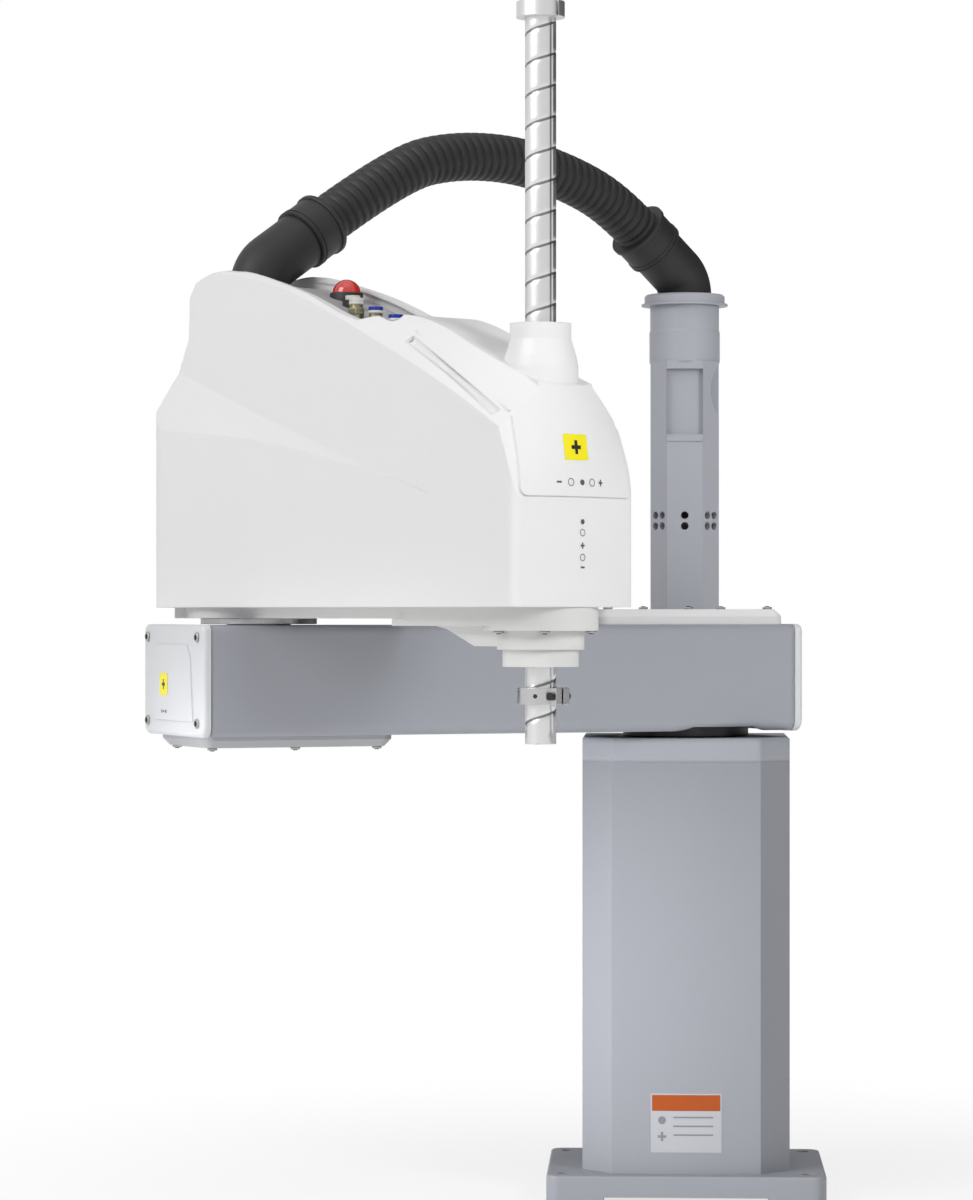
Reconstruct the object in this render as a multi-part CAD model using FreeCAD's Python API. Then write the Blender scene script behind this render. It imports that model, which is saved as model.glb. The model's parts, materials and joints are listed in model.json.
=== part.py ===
"""SCARA robot with a 600 mm reach: bench column, two arms, ball-screw spline shaft and hose.

The frame's origin is on the first axis at the underside of the foot plate. +Z is up and
-Y is the front. All sizes are in millimetres. Each arm is drawn along +X from its own
joint axis and is then turned and moved to its place.
"""
import FreeCAD, Part
import math
import os

from FreeCAD import Vector

# Arm lengths and the pose at rest: angles are world angles of each arm's direction
INNER_REACH = 325.0
OUTER_REACH = 275.0
INNER_ANGLE = -155.0
OUTER_ANGLE = -43.4

# Clearances
SEAT_GAP = 0.1
RUNNING_GAP = 0.05
AXIS_GAP = 0.7
FREE_GAP = 1.0

# Foot plate and column
PLATE_WIDTH = 197.0
PLATE_DEPTH = 150.0
PLATE_THICK = 20.0
PLATE_CORNER = 9.0
RELIEF_WIDTH = 116.0
RELIEF_HEIGHT = 5.0
BOLT_SPACING_X = 172.0
BOLT_SPACING_Y = 120.0
BOLT_HOLE_R = 4.5
COLUMN_WIDTH = 147.0
COLUMN_FRONT = -60.0
COLUMN_REAR = 67.0
COLUMN_FACE_HALF = 52.5
COLUMN_BULGE = 3.0
COLUMN_WALL = 8.0
COLUMN_TOP = 327.0
FLANGE_THICK = 17.0

# First axis
ARM_GAP = 5.0
OUTPUT_SHAFT_R = 25.0
J1_OUTPUT_R = 45.0
J1_CASE_R = 48.0
J1_CASE_DEPTH = 42.0
J1_RELIEF_R = 66.0
J1_RELIEF_DEPTH = 3.0
MOTOR_SHAFT_R = 7.0
J1_MOTOR_SIZE = 80.0
J1_MOTOR_LENGTH = 120.0

# Rear of the base
DUCT_BOX_WIDTH = 90.0
DUCT_BOX_DEPTH = 82.0
DUCT_BOX_BOTTOM = 150.0
DUCT_BOX_TOP = 300.0
DUCT_WALL = 4.0
PANEL_WIDTH = 100.0
PANEL_BOTTOM = 34.0
PANEL_HEIGHT = 104.0
PANEL_THICK = 3.0

# Duct pillar
PILLAR_Y = 120.0
PILLAR_WIDTH = 51.0
PILLAR_FACE = 26.5
PILLAR_WALL = 3.0
PILLAR_FOOT = 72.0
PILLAR_FOOT_THICK = 6.0
NECK_R = 26.35
NECK_BOTTOM = 603.0
NECK_TOP = 645.0
CHANNEL_WIDTH = 27.0
CHANNEL_DEPTH = 5.0
CHANNEL_BOTTOM = 548.0
CHANNEL_TOP = 597.0
LEDGE_HEIGHT = 5.0
VENT_R = 2.8
VENT_ROWS = (480.0, 488.0)
VENT_PITCH = 7.0
LIP_R = 32.25
LIP_THICK = 1.5
CAP_R = 30.0
CAP_THICK = 8.5

# Inner arm
ARM_WIDTH = 127.0
ARM_HEIGHT = 75.0
ARM_WALL = 6.0
ARM_TOP_ROUND = 5.0
ARM_BOTTOM_ROUND = 8.0
ARM_OVERHANG = 56.0
END_CAP_THICK = 6.2
END_CAP_PROUD = 0.5
END_PANEL_PROUD = 1.2
COVER_WIDTH = 95.0
COVER_BACK = 56.0
COVER_FRONT = 88.0
TOP_COVER_HEIGHT = 11.0
BOTTOM_COVER_HEIGHT = 8.0
COVER_BEVEL = 5.0
COVER_WALL = 2.0
COVER_SCREW_INSET = 9.5

# Second axis
J2_CASE_R = 50.0
J2_CASE_DEPTH = 46.0
J2_SHAFT_R = 22.0
J2_OUTPUT_R = 40.0
J2_OUTPUT_THICK = 4.0
J2_MOTOR_SIZE = 60.0
J2_MOTOR_LENGTH = 110.0

# Outer arm casting
FLOOR_BOTTOM = 419.0
FLOOR_THICK = 8.0
HUB_R = 50.0
BELLY_HALF = 40.0
BELLY_SETBACK = 85.0
BOSS_R = 37.0
BOSS_BOTTOM = 404.0
NOSE_R = 28.0
NOSE_BOTTOM = 392.0
SEAL_R = 24.35
SEAL_BOTTOM = 381.0

# Housing, in the outer arm's own directions: along the arm, across it, up
HOUSING_HALF = 54.4
HOUSING_REAR = -62.7
HOUSING_FRONT_REACH = 32.0
HOUSING_FRONT_BULGE = 6.0
HOUSING_REAR_ROUND = 28.0
HOUSING_FRONT_ROUND = 7.0
HOUSING_WALL = 3.0
HOUSING_CLEAR = 0.4
DECK_SEAT_GAP = 0.15
SHOULDER_INSET = 16.0
SHOULDER_START = -12.0
DECK_REAR = -26.0
DECK_HALF = 37.0
DECK_SINK = 8.5
DECK_THICK = 2.5
QUILL_BOSS_R = 19.7
QUILL_BOSS_TOP = 600.4
QUILL_BOSS_STEP = 590.0
QUILL_FLARE_R = 24.6
QUILL_FLARE_BOTTOM = 552.0

# Shaft unit
SHAFT_R = 10.0
SHAFT_BORE_R = 7.0
SHAFT_BOTTOM = 331.6
SHAFT_TOP = 806.0
TOP_COLLAR_R = 15.5
TOP_COLLAR_HEIGHT = 10.0
CLAMP_R = 15.0
CLAMP_BOTTOM = 357.0
CLAMP_HEIGHT = 10.7
NUT_R = 16.0
BEARING_R = 23.0
PULLEY_R = 24.0
PULLEY_HEIGHT = 12.0
BELT_THICK = 1.5
BELT_WIDTH = 9.0
SPLINE_NUT_BOTTOM = 400.0
PULLEY_ABOVE_FLOOR = 19.0
PULLEY_SPACE = 4.0
BRACKET_SPACE = 6.0
BRACKET_THICK = 7.0
BRACKET_BOSS_HEIGHT = 23.0
BRACKET_HALF = 47.0
BALL_NUT_PROUD = 29.0
LIFT_MOTOR_SETBACK = 145.0
TURN_MOTOR_SETBACK = 70.0
LIFT_MOTOR_SIZE = 60.0
LIFT_MOTOR_LENGTH = 78.0
TURN_MOTOR_SIZE = 40.0
TURN_MOTOR_LENGTH = 62.0
LIFT_PULLEY_R = 16.0
TURN_PULLEY_R = 12.0

# Hose and its elbows. It leaves each elbow straight, and the middle of its route is given as
# shares of the way between its ends, and heights
HOSE_R = 17.25
ELBOW_R = 20.0
COLLAR_R = 21.7
COLLAR_LENGTH = 23.0
ELBOW_BEND_R = 22.0
ARM_ELBOW_FOOT = 634.7
PILLAR_ELBOW_ABOVE_NECK = 3.2
ARM_ELBOW_REACH = 54.3
PILLAR_ELBOW_REACH = 47.1
ARM_ELBOW_TILT = 33.5
PILLAR_ELBOW_TILT = 37.15
ARM_HOSE_END = 686.6
PILLAR_HOSE_END = 699.9
ARM_HOSE_LEAD = 79.9
PILLAR_HOSE_LEAD = 29.8
HOSE_MIDDLE = ((0.405, 745.8), (0.603, 748.4), (0.782, 737.0))

# Deck fittings, along and across the outer arm
LAMP_PLACE = (68.0, 20.0)
LAMP_R = 9.75
LAMP_BASE = 4.0
BUTTON_PLACE = (92.0, 4.0)
BUTTON_R = 5.0
BUTTON_TRAVEL = 2.0
BUTTON_GUARD_HEIGHT = 5.0
FITTING_SPOTS = ((0.411, -12.0), (0.465, -8.0), (0.52, -4.0), (0.575, 4.0), (0.622, 14.0))
FITTING_R = 5.2
FITTING_HEIGHT = 10.0
BLUE_FITTINGS = (1, 2)

# Screws
SCREW_R = 3.4
SCREW_HEAD = 1.6

# Lines of the housing: shares of the outer arm's reach, and heights
ROOF_STATIONS = ((-0.08, 641.5), (0.062, 648.0), (0.233, 638.0), (0.378, 625.0), (0.476, 613.5),
                 (0.545, 607.0), (0.684, 608.5), (0.858, 590.0), (0.975, 574.0), (1.098, 560.0))
DECK_REAR_STATION = (-34.0, 636.0)
DECK_FRONT_SHARE = 0.655
CREASE_STATIONS = ((-0.145, 652.0), (0.075, 644.0), (0.249, 634.0), (0.471, 612.0),
                   (0.662, 589.0), (0.849, 565.0), (1.058, 533.0), (1.182, 512.0))
CREASE_INSETS = (18.0, 13.9, 11.0, 7.2, 3.8, 0.0, 0.0, 0.0)
SHOULDER_STATIONS = ((-0.273, 542.0), (-0.135, 540.0), (0.127, 534.0), (0.378, 523.0),
                     (0.618, 508.0), (0.793, 495.0), (0.873, 488.0))
SHOULDER_STEEPNESS = (2.4, 2.2, 1.5, 0.9, 0.5, 0.35, 0.3)
SHOULDER_END_SHARE = 0.851
REAR_STATIONS = ((-62.7, 400.0), (-62.7, 449.0), (-60.0, 500.0), (-54.7, 539.0), (-47.0, 567.0),
                 (-36.0, 592.0))

# Housing's front: distance ahead of the shaft in the middle, how far the sides lie back, height
FRONT_STATIONS = ((-6.0, 20.7, 600.0), (12.0, 20.7, 580.0), (24.0, 20.7, 562.0), (30.0, 19.5, 547.0),
                  (33.5, 16.0, 530.0), (35.5, 12.2, 515.0), (38.2, 6.0, 475.0), (39.4, 4.4, 400.0))
FRONT_SHEET_WIDTH = 60.0
PANEL_RAISE = 1.6
PANEL_CORNERS = ((50.0, 488.8), (44.0, 560.0), (42.0, 600.0))
PANEL_CORNER_R = 5.0

# Groove and rib on the slope beside the front: share of the reach, distance inwards, height
GROOVE_ENDS = ((0.716, 12.6, 592.9), (1.036, 4.9, 542.1))
GROOVE_R = 3.2
RIB_ENDS = ((0.718, 18.7, 597.8), (1.062, 10.0, 542.4))
RIB_R = 1.1


def along(share):
    """Distance from the second axis of a share of the outer arm's reach."""
    return share * OUTER_REACH


def stretched(stations):
    return [(along(share), z) for share, z in stations]


# Values that follow from the sizes above
ARM_BOTTOM = COLUMN_TOP + ARM_GAP
ARM_TOP = ARM_BOTTOM + ARM_HEIGHT
FLANGE_BOTTOM = COLUMN_TOP - FLANGE_THICK
J1_OUTPUT_TOP = ARM_BOTTOM + J1_RELIEF_DEPTH
FLOOR_TOP = FLOOR_BOTTOM + FLOOR_THICK
BELLY_BOTTOM = ARM_TOP + AXIS_GAP + J2_OUTPUT_THICK
BELLY_FRONT = OUTER_REACH - BELLY_SETBACK
HOUSING_FRONT = OUTER_REACH + HOUSING_FRONT_REACH
SHOULDER_END = along(SHOULDER_END_SHARE)
DECK_FRONT = along(DECK_FRONT_SHARE)
SPLINE_PULLEY_BOTTOM = FLOOR_TOP + PULLEY_ABOVE_FLOOR
BALL_PULLEY_BOTTOM = SPLINE_PULLEY_BOTTOM + PULLEY_HEIGHT + PULLEY_SPACE
BRACKET_BOTTOM = BALL_PULLEY_BOTTOM + PULLEY_HEIGHT + BRACKET_SPACE
BRACKET_TOP = BRACKET_BOTTOM + BRACKET_THICK
BALL_NUT_TOP = BRACKET_TOP + BALL_NUT_PROUD
LIFT_MOTOR_T = OUTER_REACH - LIFT_MOTOR_SETBACK
TURN_MOTOR_T = OUTER_REACH - TURN_MOTOR_SETBACK
TOP_COVER_ENDS = (-COVER_BACK, COVER_FRONT)
BOTTOM_COVER_ENDS = (INNER_REACH - COVER_FRONT + 6, INNER_REACH + COVER_BACK)
FITTING_PLACES = stretched(FITTING_SPOTS)
ROOF_LINE = stretched(ROOF_STATIONS)
DECK_LINE = [DECK_REAR_STATION] + ROOF_LINE[:7]
CREASE_LINE = stretched(CREASE_STATIONS)
SHOULDER_LINE = stretched(SHOULDER_STATIONS)

# Heights and distances safely outside the housing, for the bodies that cut it
BELOW = 300.0
ABOVE = 900.0


def box(x0, x1, y0, y1, z0, z1):
    return Part.makeBox(x1 - x0, y1 - y0, z1 - z0, Vector(x0, y0, z0))


def cylinder(x, y, z0, z1, radius):
    return Part.makeCylinder(radius, z1 - z0, Vector(x, y, z0))


def ring(x, y, z0, z1, outer, inner):
    return cylinder(x, y, z0, z1, outer).cut(cylinder(x, y, z0 - 1, z1 + 1, inner))


def prism(points, z0, z1):
    """Upright prism over a flat outline of straight sides."""
    corners = [Vector(x, y, z0) for x, y in points]
    face = Part.Face(Part.makePolygon(corners + corners[:1]))
    return face.extrude(Vector(0, 0, z1 - z0))


def fuse(shapes):
    result = shapes[0].fuse(shapes[1:]) if len(shapes) > 1 else shapes[0]
    return result.removeSplitter()


def rounded_block(x0, x1, y0, y1, z0, z1, radius):
    """Block whose four upright edges are rounded."""
    block = box(x0, x1, y0, y1, z0, z1)
    upright = [e for e in block.Edges if abs(e.tangentAt(e.FirstParameter).z) > 0.9]
    return block.makeFillet(radius, upright)


def revolve(profile, x, y):
    """Solid of revolution about an upright axis, from (radius, height) points."""
    corners = [Vector(x + r, y, z) for r, z in profile]
    face = Part.Face(Part.makePolygon(corners + corners[:1]))
    return face.revolve(Vector(x, y, 0), Vector(0, 0, 1), 360)


def rotate_place(shape, angle, x=0.0, y=0.0):
    placed = shape.copy()
    placed.rotate(Vector(0, 0, 0), Vector(0, 0, 1), angle)
    placed.translate(Vector(x, y, 0))
    return placed


def heading(angle):
    return Vector(math.cos(math.radians(angle)), math.sin(math.radians(angle)), 0)


J2_POINT = heading(INNER_ANGLE) * INNER_REACH
PILLAR_POINT = Vector(0, PILLAR_Y, 0)
HOSE_SPAN = (PILLAR_POINT - J2_POINT).Length
HOSE_HEADING = (PILLAR_POINT - J2_POINT) / HOSE_SPAN
HOSE_RUN = HOSE_SPAN - ARM_ELBOW_REACH - PILLAR_ELBOW_REACH


def hose_lead(m, z, tilt, length):
    """Point on the straight line in which the hose leaves an elbow's end."""
    return (m + length * math.cos(math.radians(tilt)),
            z + abs(length) * math.sin(math.radians(tilt)))


ARM_END = (ARM_ELBOW_REACH, ARM_HOSE_END)
PILLAR_END = (ARM_ELBOW_REACH + HOSE_RUN, PILLAR_HOSE_END)
HOSE_POINTS = ([ARM_END, hose_lead(*ARM_END, ARM_ELBOW_TILT, ARM_HOSE_LEAD)]
               + [(ARM_ELBOW_REACH + share * HOSE_RUN, z) for share, z in HOSE_MIDDLE]
               + [hose_lead(*PILLAR_END, PILLAR_ELBOW_TILT, -PILLAR_HOSE_LEAD), PILLAR_END])


def on_inner_arm(shape):
    return rotate_place(shape, INNER_ANGLE)


def on_outer_arm(shape):
    return rotate_place(shape, OUTER_ANGLE, J2_POINT.x, J2_POINT.y)


def same_place(shape):
    return shape


def save(node, solids, place=same_place):
    """Writes one node's solids, each on its own, to its STEP file."""
    placed = [place(solid) for solid in solids]
    shape = placed[0] if len(placed) == 1 else Part.makeCompound(placed)
    shape.exportStep("parts/" + node + ".step")


def screw(x, y, z, up=1):
    """Head of a screw seen from above, or from below with up=-1."""
    z0, z1 = sorted((z, z + up * SCREW_HEAD))
    return cylinder(x, y, z0, z1, SCREW_R)


def motor(x, y, top, size, length, shaft_length, up=1):
    """Square servo motor with its flange at height top and its shaft beyond it."""
    half = size / 2
    corner = size * 0.12
    cap = 0.28 * length
    z0, z1 = sorted((top - up * (length - cap), top))
    body = rounded_block(x - half, x + half, y - half, y + half, z0, z1, corner)
    z0, z1 = sorted((top - up * length, top - up * (length - cap)))
    rear = rounded_block(x - half + 2, x + half - 2, y - half + 2, y + half - 2, z0, z1, corner)
    z0, z1 = sorted((top, top + up * shaft_length))
    shaft = cylinder(x, y, z0, z1, MOTOR_SHAFT_R)
    return fuse([body, rear, shaft])


# Base

def column_outline(inset, rear):
    """Outline of the column: a bulged front face, two slanted faces and square rear corners."""
    half = COLUMN_WIDTH / 2 - inset
    face = COLUMN_FACE_HALF - 0.4 * inset
    front = COLUMN_FRONT + inset
    slant = half - face
    left_front = Vector(-face, front, 0)
    right_front = Vector(face, front, 0)
    bulge = Part.Arc(left_front, Vector(0, front - COLUMN_BULGE, 0), right_front).toShape()
    corners = [right_front, Vector(half, front + slant, 0), Vector(half, rear - inset, 0),
               Vector(-half, rear - inset, 0), Vector(-half, front + slant, 0), left_front]
    sides = [Part.makeLine(a, b) for a, b in zip(corners, corners[1:])]
    return Part.Wire([bulge] + sides)


def column_block(inset, z0, z1):
    block = Part.Face(column_outline(inset, COLUMN_REAR)).extrude(Vector(0, 0, z1 - z0))
    block.translate(Vector(0, 0, z0))
    return block


def rear_window():
    half = PANEL_WIDTH / 2 - 8
    return box(-half, half, COLUMN_REAR - 2 * COLUMN_WALL, COLUMN_REAR + 1,
               PANEL_BOTTOM + 8, PANEL_BOTTOM + PANEL_HEIGHT - 8)


def duct_window():
    half = DUCT_BOX_WIDTH / 2 - 2 * DUCT_WALL
    return box(-half, half, COLUMN_REAR - 2 * COLUMN_WALL, COLUMN_REAR + 1,
               DUCT_BOX_BOTTOM + 15, DUCT_BOX_TOP - 40)


def bolt_places():
    return [(sx * BOLT_SPACING_X / 2, sy * BOLT_SPACING_Y / 2)
            for sx in (-1, 1) for sy in (-1, 1)]


def base_casting():
    half = PLATE_WIDTH / 2
    y0 = -PLATE_DEPTH / 2
    y1 = PLATE_DEPTH / 2
    plate = rounded_block(-half, half, y0, y1, 0, PLATE_THICK, PLATE_CORNER)
    rim = [e for e in plate.Edges if e.BoundBox.ZMin > PLATE_THICK - 0.01]
    plate = plate.makeFillet(1.5, rim)
    casting = plate.fuse(column_block(0, PLATE_THICK, FLANGE_BOTTOM)).removeSplitter()
    casting = casting.cut(column_block(COLUMN_WALL, -1, FLANGE_BOTTOM + 1))
    relief = RELIEF_WIDTH / 2
    casting = casting.cut(box(-relief, relief, y0 - 1, y1 + 1, -1, RELIEF_HEIGHT))
    casting = casting.cut(rear_window())
    casting = casting.cut(duct_window())
    for x, y in bolt_places():
        casting = casting.cut(cylinder(x, y, -1, PLATE_THICK + 1, BOLT_HOLE_R))
    return casting


def column_flange():
    plate = column_block(0, FLANGE_BOTTOM, COLUMN_TOP)
    rim = [e for e in plate.Edges if e.BoundBox.ZMin > COLUMN_TOP - 0.01]
    plate = plate.makeChamfer(1.0, rim)
    return plate.cut(cylinder(0, 0, FLANGE_BOTTOM - 1, COLUMN_TOP + 1, J1_CASE_R + SEAT_GAP))


def j1_reducer_case():
    bottom = COLUMN_TOP - J1_CASE_DEPTH
    body = cylinder(0, 0, bottom, COLUMN_TOP, J1_CASE_R)
    rim = cylinder(0, 0, FLANGE_BOTTOM - 8, FLANGE_BOTTOM, J1_CASE_R + 3)
    return fuse([body, rim]).cut(
        cylinder(0, 0, bottom - 1, COLUMN_TOP + 1, OUTPUT_SHAFT_R + RUNNING_GAP))


def j1_output_flange():
    profile = ((0, COLUMN_TOP - 22), (OUTPUT_SHAFT_R, COLUMN_TOP - 22),
               (OUTPUT_SHAFT_R, COLUMN_TOP + AXIS_GAP), (J1_OUTPUT_R, COLUMN_TOP + AXIS_GAP),
               (J1_OUTPUT_R, J1_OUTPUT_TOP), (J1_OUTPUT_R - 15, J1_OUTPUT_TOP),
               (J1_OUTPUT_R - 15, ARM_BOTTOM + ARM_WALL + 4), (0, ARM_BOTTOM + ARM_WALL + 4))
    return revolve(profile, 0, 0)


def rear_panel():
    half = PANEL_WIDTH / 2
    y0 = COLUMN_REAR
    panel = box(-half, half, y0, y0 + PANEL_THICK, PANEL_BOTTOM, PANEL_BOTTOM + PANEL_HEIGHT)
    across = [e for e in panel.Edges if abs(e.tangentAt(e.FirstParameter).y) > 0.9]
    return panel.makeFillet(5, across)


def rearward(x, z, y0, y1, radius):
    return Part.makeCylinder(radius, y1 - y0, Vector(x, y0, z), Vector(0, 1, 0))


def rear_connectors():
    """Round power connector, round signal connector and their locking rings."""
    face = COLUMN_REAR + PANEL_THICK
    shells = []
    for x, z, radius in ((-24, PANEL_BOTTOM + 70, 14.0), (16, PANEL_BOTTOM + 72, 11.0)):
        flange = box(x - radius - 3, x + radius + 3, face, face + 2,
                     z - radius - 3, z + radius + 3)
        shell = rearward(x, z, face, face + 16, radius)
        shell = shell.cut(rearward(x, z, face + 4, face + 17, radius - 2))
        shells.append(fuse([flange, shell, rearward(x, z, face + 3, face + 10, radius * 0.6)]))
    return shells


def rear_air_fittings():
    face = COLUMN_REAR + PANEL_THICK
    fittings = []
    for x in (-30, -8, 14):
        z = PANEL_BOTTOM + 28
        body = rearward(x, z, face, face + 7, 6.0)
        fittings.append(fuse([body, rearward(x, z, face + 7, face + 13, 4.6)]))
    return fittings


def earth_screw():
    face = COLUMN_REAR + PANEL_THICK
    return fuse([rearward(36, PANEL_BOTTOM + 28, face, face + 1.2, 6.0),
                 rearward(36, PANEL_BOTTOM + 28, face + 1.2, face + 4.5, 3.8)])


def duct_box():
    half = DUCT_BOX_WIDTH / 2
    y0 = COLUMN_REAR
    y1 = y0 + DUCT_BOX_DEPTH
    outer = box(-half, half, y0, y1, DUCT_BOX_BOTTOM, DUCT_BOX_TOP)
    rear = [e for e in outer.Edges
            if abs(e.tangentAt(e.FirstParameter).z) > 0.9 and e.CenterOfMass.y > y0 + 1]
    outer = outer.makeFillet(10, rear)
    inner = box(-half + DUCT_WALL, half - DUCT_WALL, y0 - 1, y1 - DUCT_WALL,
                DUCT_BOX_BOTTOM + DUCT_WALL, DUCT_BOX_TOP - DUCT_WALL)
    mouth = cylinder(0, PILLAR_Y, DUCT_BOX_TOP - DUCT_WALL - 1, DUCT_BOX_TOP + 1, ELBOW_R)
    return outer.cut(inner).cut(mouth)


def pillar_outline(width, face):
    """Eight-sided outline round the pillar's centre, with flat faces square to the axes."""
    half = width / 2
    flat = face / 2
    return [(half, flat), (flat, half), (-flat, half), (-half, flat),
            (-half, -flat), (-flat, -half), (flat, -half), (half, -flat)]


def duct_pillar():
    foot_top = DUCT_BOX_TOP + PILLAR_FOOT_THICK
    foot_half = PILLAR_FOOT / 2
    foot = rounded_block(-foot_half, foot_half, -foot_half + 6, foot_half - 7,
                         DUCT_BOX_TOP, foot_top, 5)
    tube = prism(pillar_outline(PILLAR_WIDTH, PILLAR_FACE), DUCT_BOX_TOP, NECK_BOTTOM)
    neck = revolve(((0, NECK_BOTTOM - 14), (NECK_R - 9, NECK_BOTTOM - 14), (NECK_R, NECK_BOTTOM),
                    (NECK_R, NECK_BOTTOM + 22), (NECK_R - 0.6, NECK_BOTTOM + 24),
                    (NECK_R - 0.6, NECK_TOP), (0, NECK_TOP)), 0, 0)
    pillar = fuse([foot, tube, neck])
    front = -PILLAR_WIDTH / 2
    half = CHANNEL_WIDTH / 2
    pillar = pillar.cut(box(-half, half, front - 1, front + CHANNEL_DEPTH,
                            CHANNEL_BOTTOM, CHANNEL_TOP))
    ledge = box(-half, half, front - 0.8, front + 1,
                CHANNEL_BOTTOM - LEDGE_HEIGHT, CHANNEL_BOTTOM)
    scallop = Part.makeCylinder(34, 60, Vector(NECK_R + 27, -30, CHANNEL_BOTTOM + 34),
                                Vector(0, 1, 0))
    scallop = scallop.common(box(0, 60, front - 5, -6, CHANNEL_BOTTOM, NECK_BOTTOM - 2))
    pillar = pillar.cut(scallop).fuse(ledge)
    bore = PILLAR_WIDTH / 2 - CHANNEL_DEPTH - PILLAR_WALL
    pillar = pillar.cut(cylinder(0, 0, DUCT_BOX_TOP - 1, NECK_TOP + 1, bore))
    for z in VENT_ROWS:
        for turn in (-45, 0, 45):
            for shift in ((-VENT_PITCH / 2, VENT_PITCH / 2) if turn else (0.0,)):
                hole = Part.makeCylinder(VENT_R, PILLAR_WIDTH / 2 + 5, Vector(shift, 0, z),
                                         Vector(0, -1, 0))
                hole.rotate(Vector(0, 0, 0), Vector(0, 0, 1), turn)
                pillar = pillar.cut(hole)
    pillar.translate(PILLAR_POINT)
    return pillar.removeSplitter()


def pillar_cap():
    lip = ring(0, 0, NECK_TOP, NECK_TOP + LIP_THICK, LIP_R, ELBOW_R + FREE_GAP)
    crown = ring(0, 0, NECK_TOP + LIP_THICK, NECK_TOP + CAP_THICK, CAP_R, ELBOW_R + FREE_GAP)
    cap = fuse([lip, crown])
    rim = [e for e in cap.Edges if e.BoundBox.ZMin > NECK_TOP + CAP_THICK - 0.01
           and e.BoundBox.XMax > CAP_R - 1]
    cap = cap.makeChamfer(1.5, rim)
    cap.translate(PILLAR_POINT)
    return cap


def screws_on_column():
    """Screws of the pillar's foot and of the rear panel."""
    foot_top = DUCT_BOX_TOP + PILLAR_FOOT_THICK
    screws = []
    for sx in (-1, 1):
        for y in (-24, 23):
            screws.append(screw(sx * 31, PILLAR_Y + y, foot_top))
    for sx in (-1, 1):
        for z in (PANEL_BOTTOM + 6, PANEL_BOTTOM + PANEL_HEIGHT - 6):
            head = rearward(sx * (PANEL_WIDTH / 2 - 6), z, COLUMN_REAR + PANEL_THICK,
                            COLUMN_REAR + PANEL_THICK + SCREW_HEAD, SCREW_R)
            screws.append(head)
    return screws


def build_base():
    save("base_casting", [base_casting()])
    save("column_flange", [column_flange()])
    save("j1_reducer_case", [j1_reducer_case()])
    save("j1_motor", [motor(0, 0, COLUMN_TOP - J1_CASE_DEPTH, J1_MOTOR_SIZE, J1_MOTOR_LENGTH, 14)])
    save("rear_panel", [rear_panel()])
    save("rear_connectors", rear_connectors())
    save("rear_air_fittings", rear_air_fittings())
    save("earth_screw", [earth_screw()])
    save("duct_box", [duct_box()])
    save("duct_pillar", [duct_pillar()])
    save("pillar_cap", [pillar_cap()])
    save("column_screws", screws_on_column())


# Inner arm

def arm_section(x0, x1, grow, top_round, bottom_round):
    """Bar with the arm's section, larger all round by grow."""
    half = ARM_WIDTH / 2 + grow
    bar = box(x0, x1, -half, half, ARM_BOTTOM - grow, ARM_TOP + grow)
    middle = (ARM_BOTTOM + ARM_TOP) / 2
    along = [e for e in bar.Edges if abs(e.tangentAt(e.FirstParameter).x) > 0.9]
    bar = bar.makeFillet(top_round, [e for e in along if e.CenterOfMass.z > middle])
    along = [e for e in bar.Edges if abs(e.tangentAt(e.FirstParameter).x) > 0.9]
    low = [e for e in along
           if e.CenterOfMass.z < middle and abs(abs(e.CenterOfMass.y) - half) < 0.01]
    return bar.makeFillet(bottom_round, low)


def arm_tube():
    end = INNER_REACH + ARM_OVERHANG
    tube = arm_section(-ARM_OVERHANG, end, 0, ARM_TOP_ROUND, ARM_BOTTOM_ROUND)
    half = ARM_WIDTH / 2 - ARM_WALL
    tube = tube.cut(box(-ARM_OVERHANG - 1, end + 1, -half, half,
                        ARM_BOTTOM + ARM_WALL, ARM_TOP - ARM_WALL))
    tube = tube.cut(cylinder(0, 0, ARM_BOTTOM - 1, J1_OUTPUT_TOP, J1_RELIEF_R))
    tube = tube.cut(cylinder(0, 0, ARM_BOTTOM, ARM_BOTTOM + ARM_WALL + 1,
                             J1_OUTPUT_R - 15 + SEAT_GAP))
    tube = tube.cut(cylinder(INNER_REACH, 0, ARM_TOP - ARM_WALL - 1, ARM_TOP + 1,
                             J2_CASE_R + SEAT_GAP))
    top_hatch = rounded_block(-35, 65, -35, 35, ARM_TOP - ARM_WALL - 1, ARM_TOP + 1, 10)
    bottom_hatch = rounded_block(INNER_REACH - 62, INNER_REACH + 38, -35, 35,
                                 ARM_BOTTOM - 1, ARM_BOTTOM + ARM_WALL + 1, 10)
    return tube.cut(top_hatch).cut(bottom_hatch)


def end_cap(sign):
    """End cap of the tube at its own origin, facing +X for sign 1 and -X for sign -1."""
    cap = arm_section(0, END_CAP_THICK, END_CAP_PROUD, ARM_TOP_ROUND, ARM_BOTTOM_ROUND)
    outer = [e for e in cap.Edges if e.BoundBox.XMin > END_CAP_THICK - 0.01]
    cap = cap.makeFillet(3.0, outer)
    z0 = ARM_BOTTOM + 10
    z1 = ARM_TOP - 13
    panel = ((-36, z0), (46, z0), (40, z1 - 8), (32, z1), (-36, z1))
    corners = [Vector(END_CAP_THICK - 1, sign * y, z) for y, z in panel]
    raised = Part.Face(Part.makePolygon(corners + corners[:1]))
    cap = cap.fuse(raised.extrude(Vector(1 + END_PANEL_PROUD, 0, 0))).removeSplitter()
    if sign < 0:
        cap.rotate(Vector(0, 0, 0), Vector(0, 0, 1), 180)
    return cap


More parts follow.
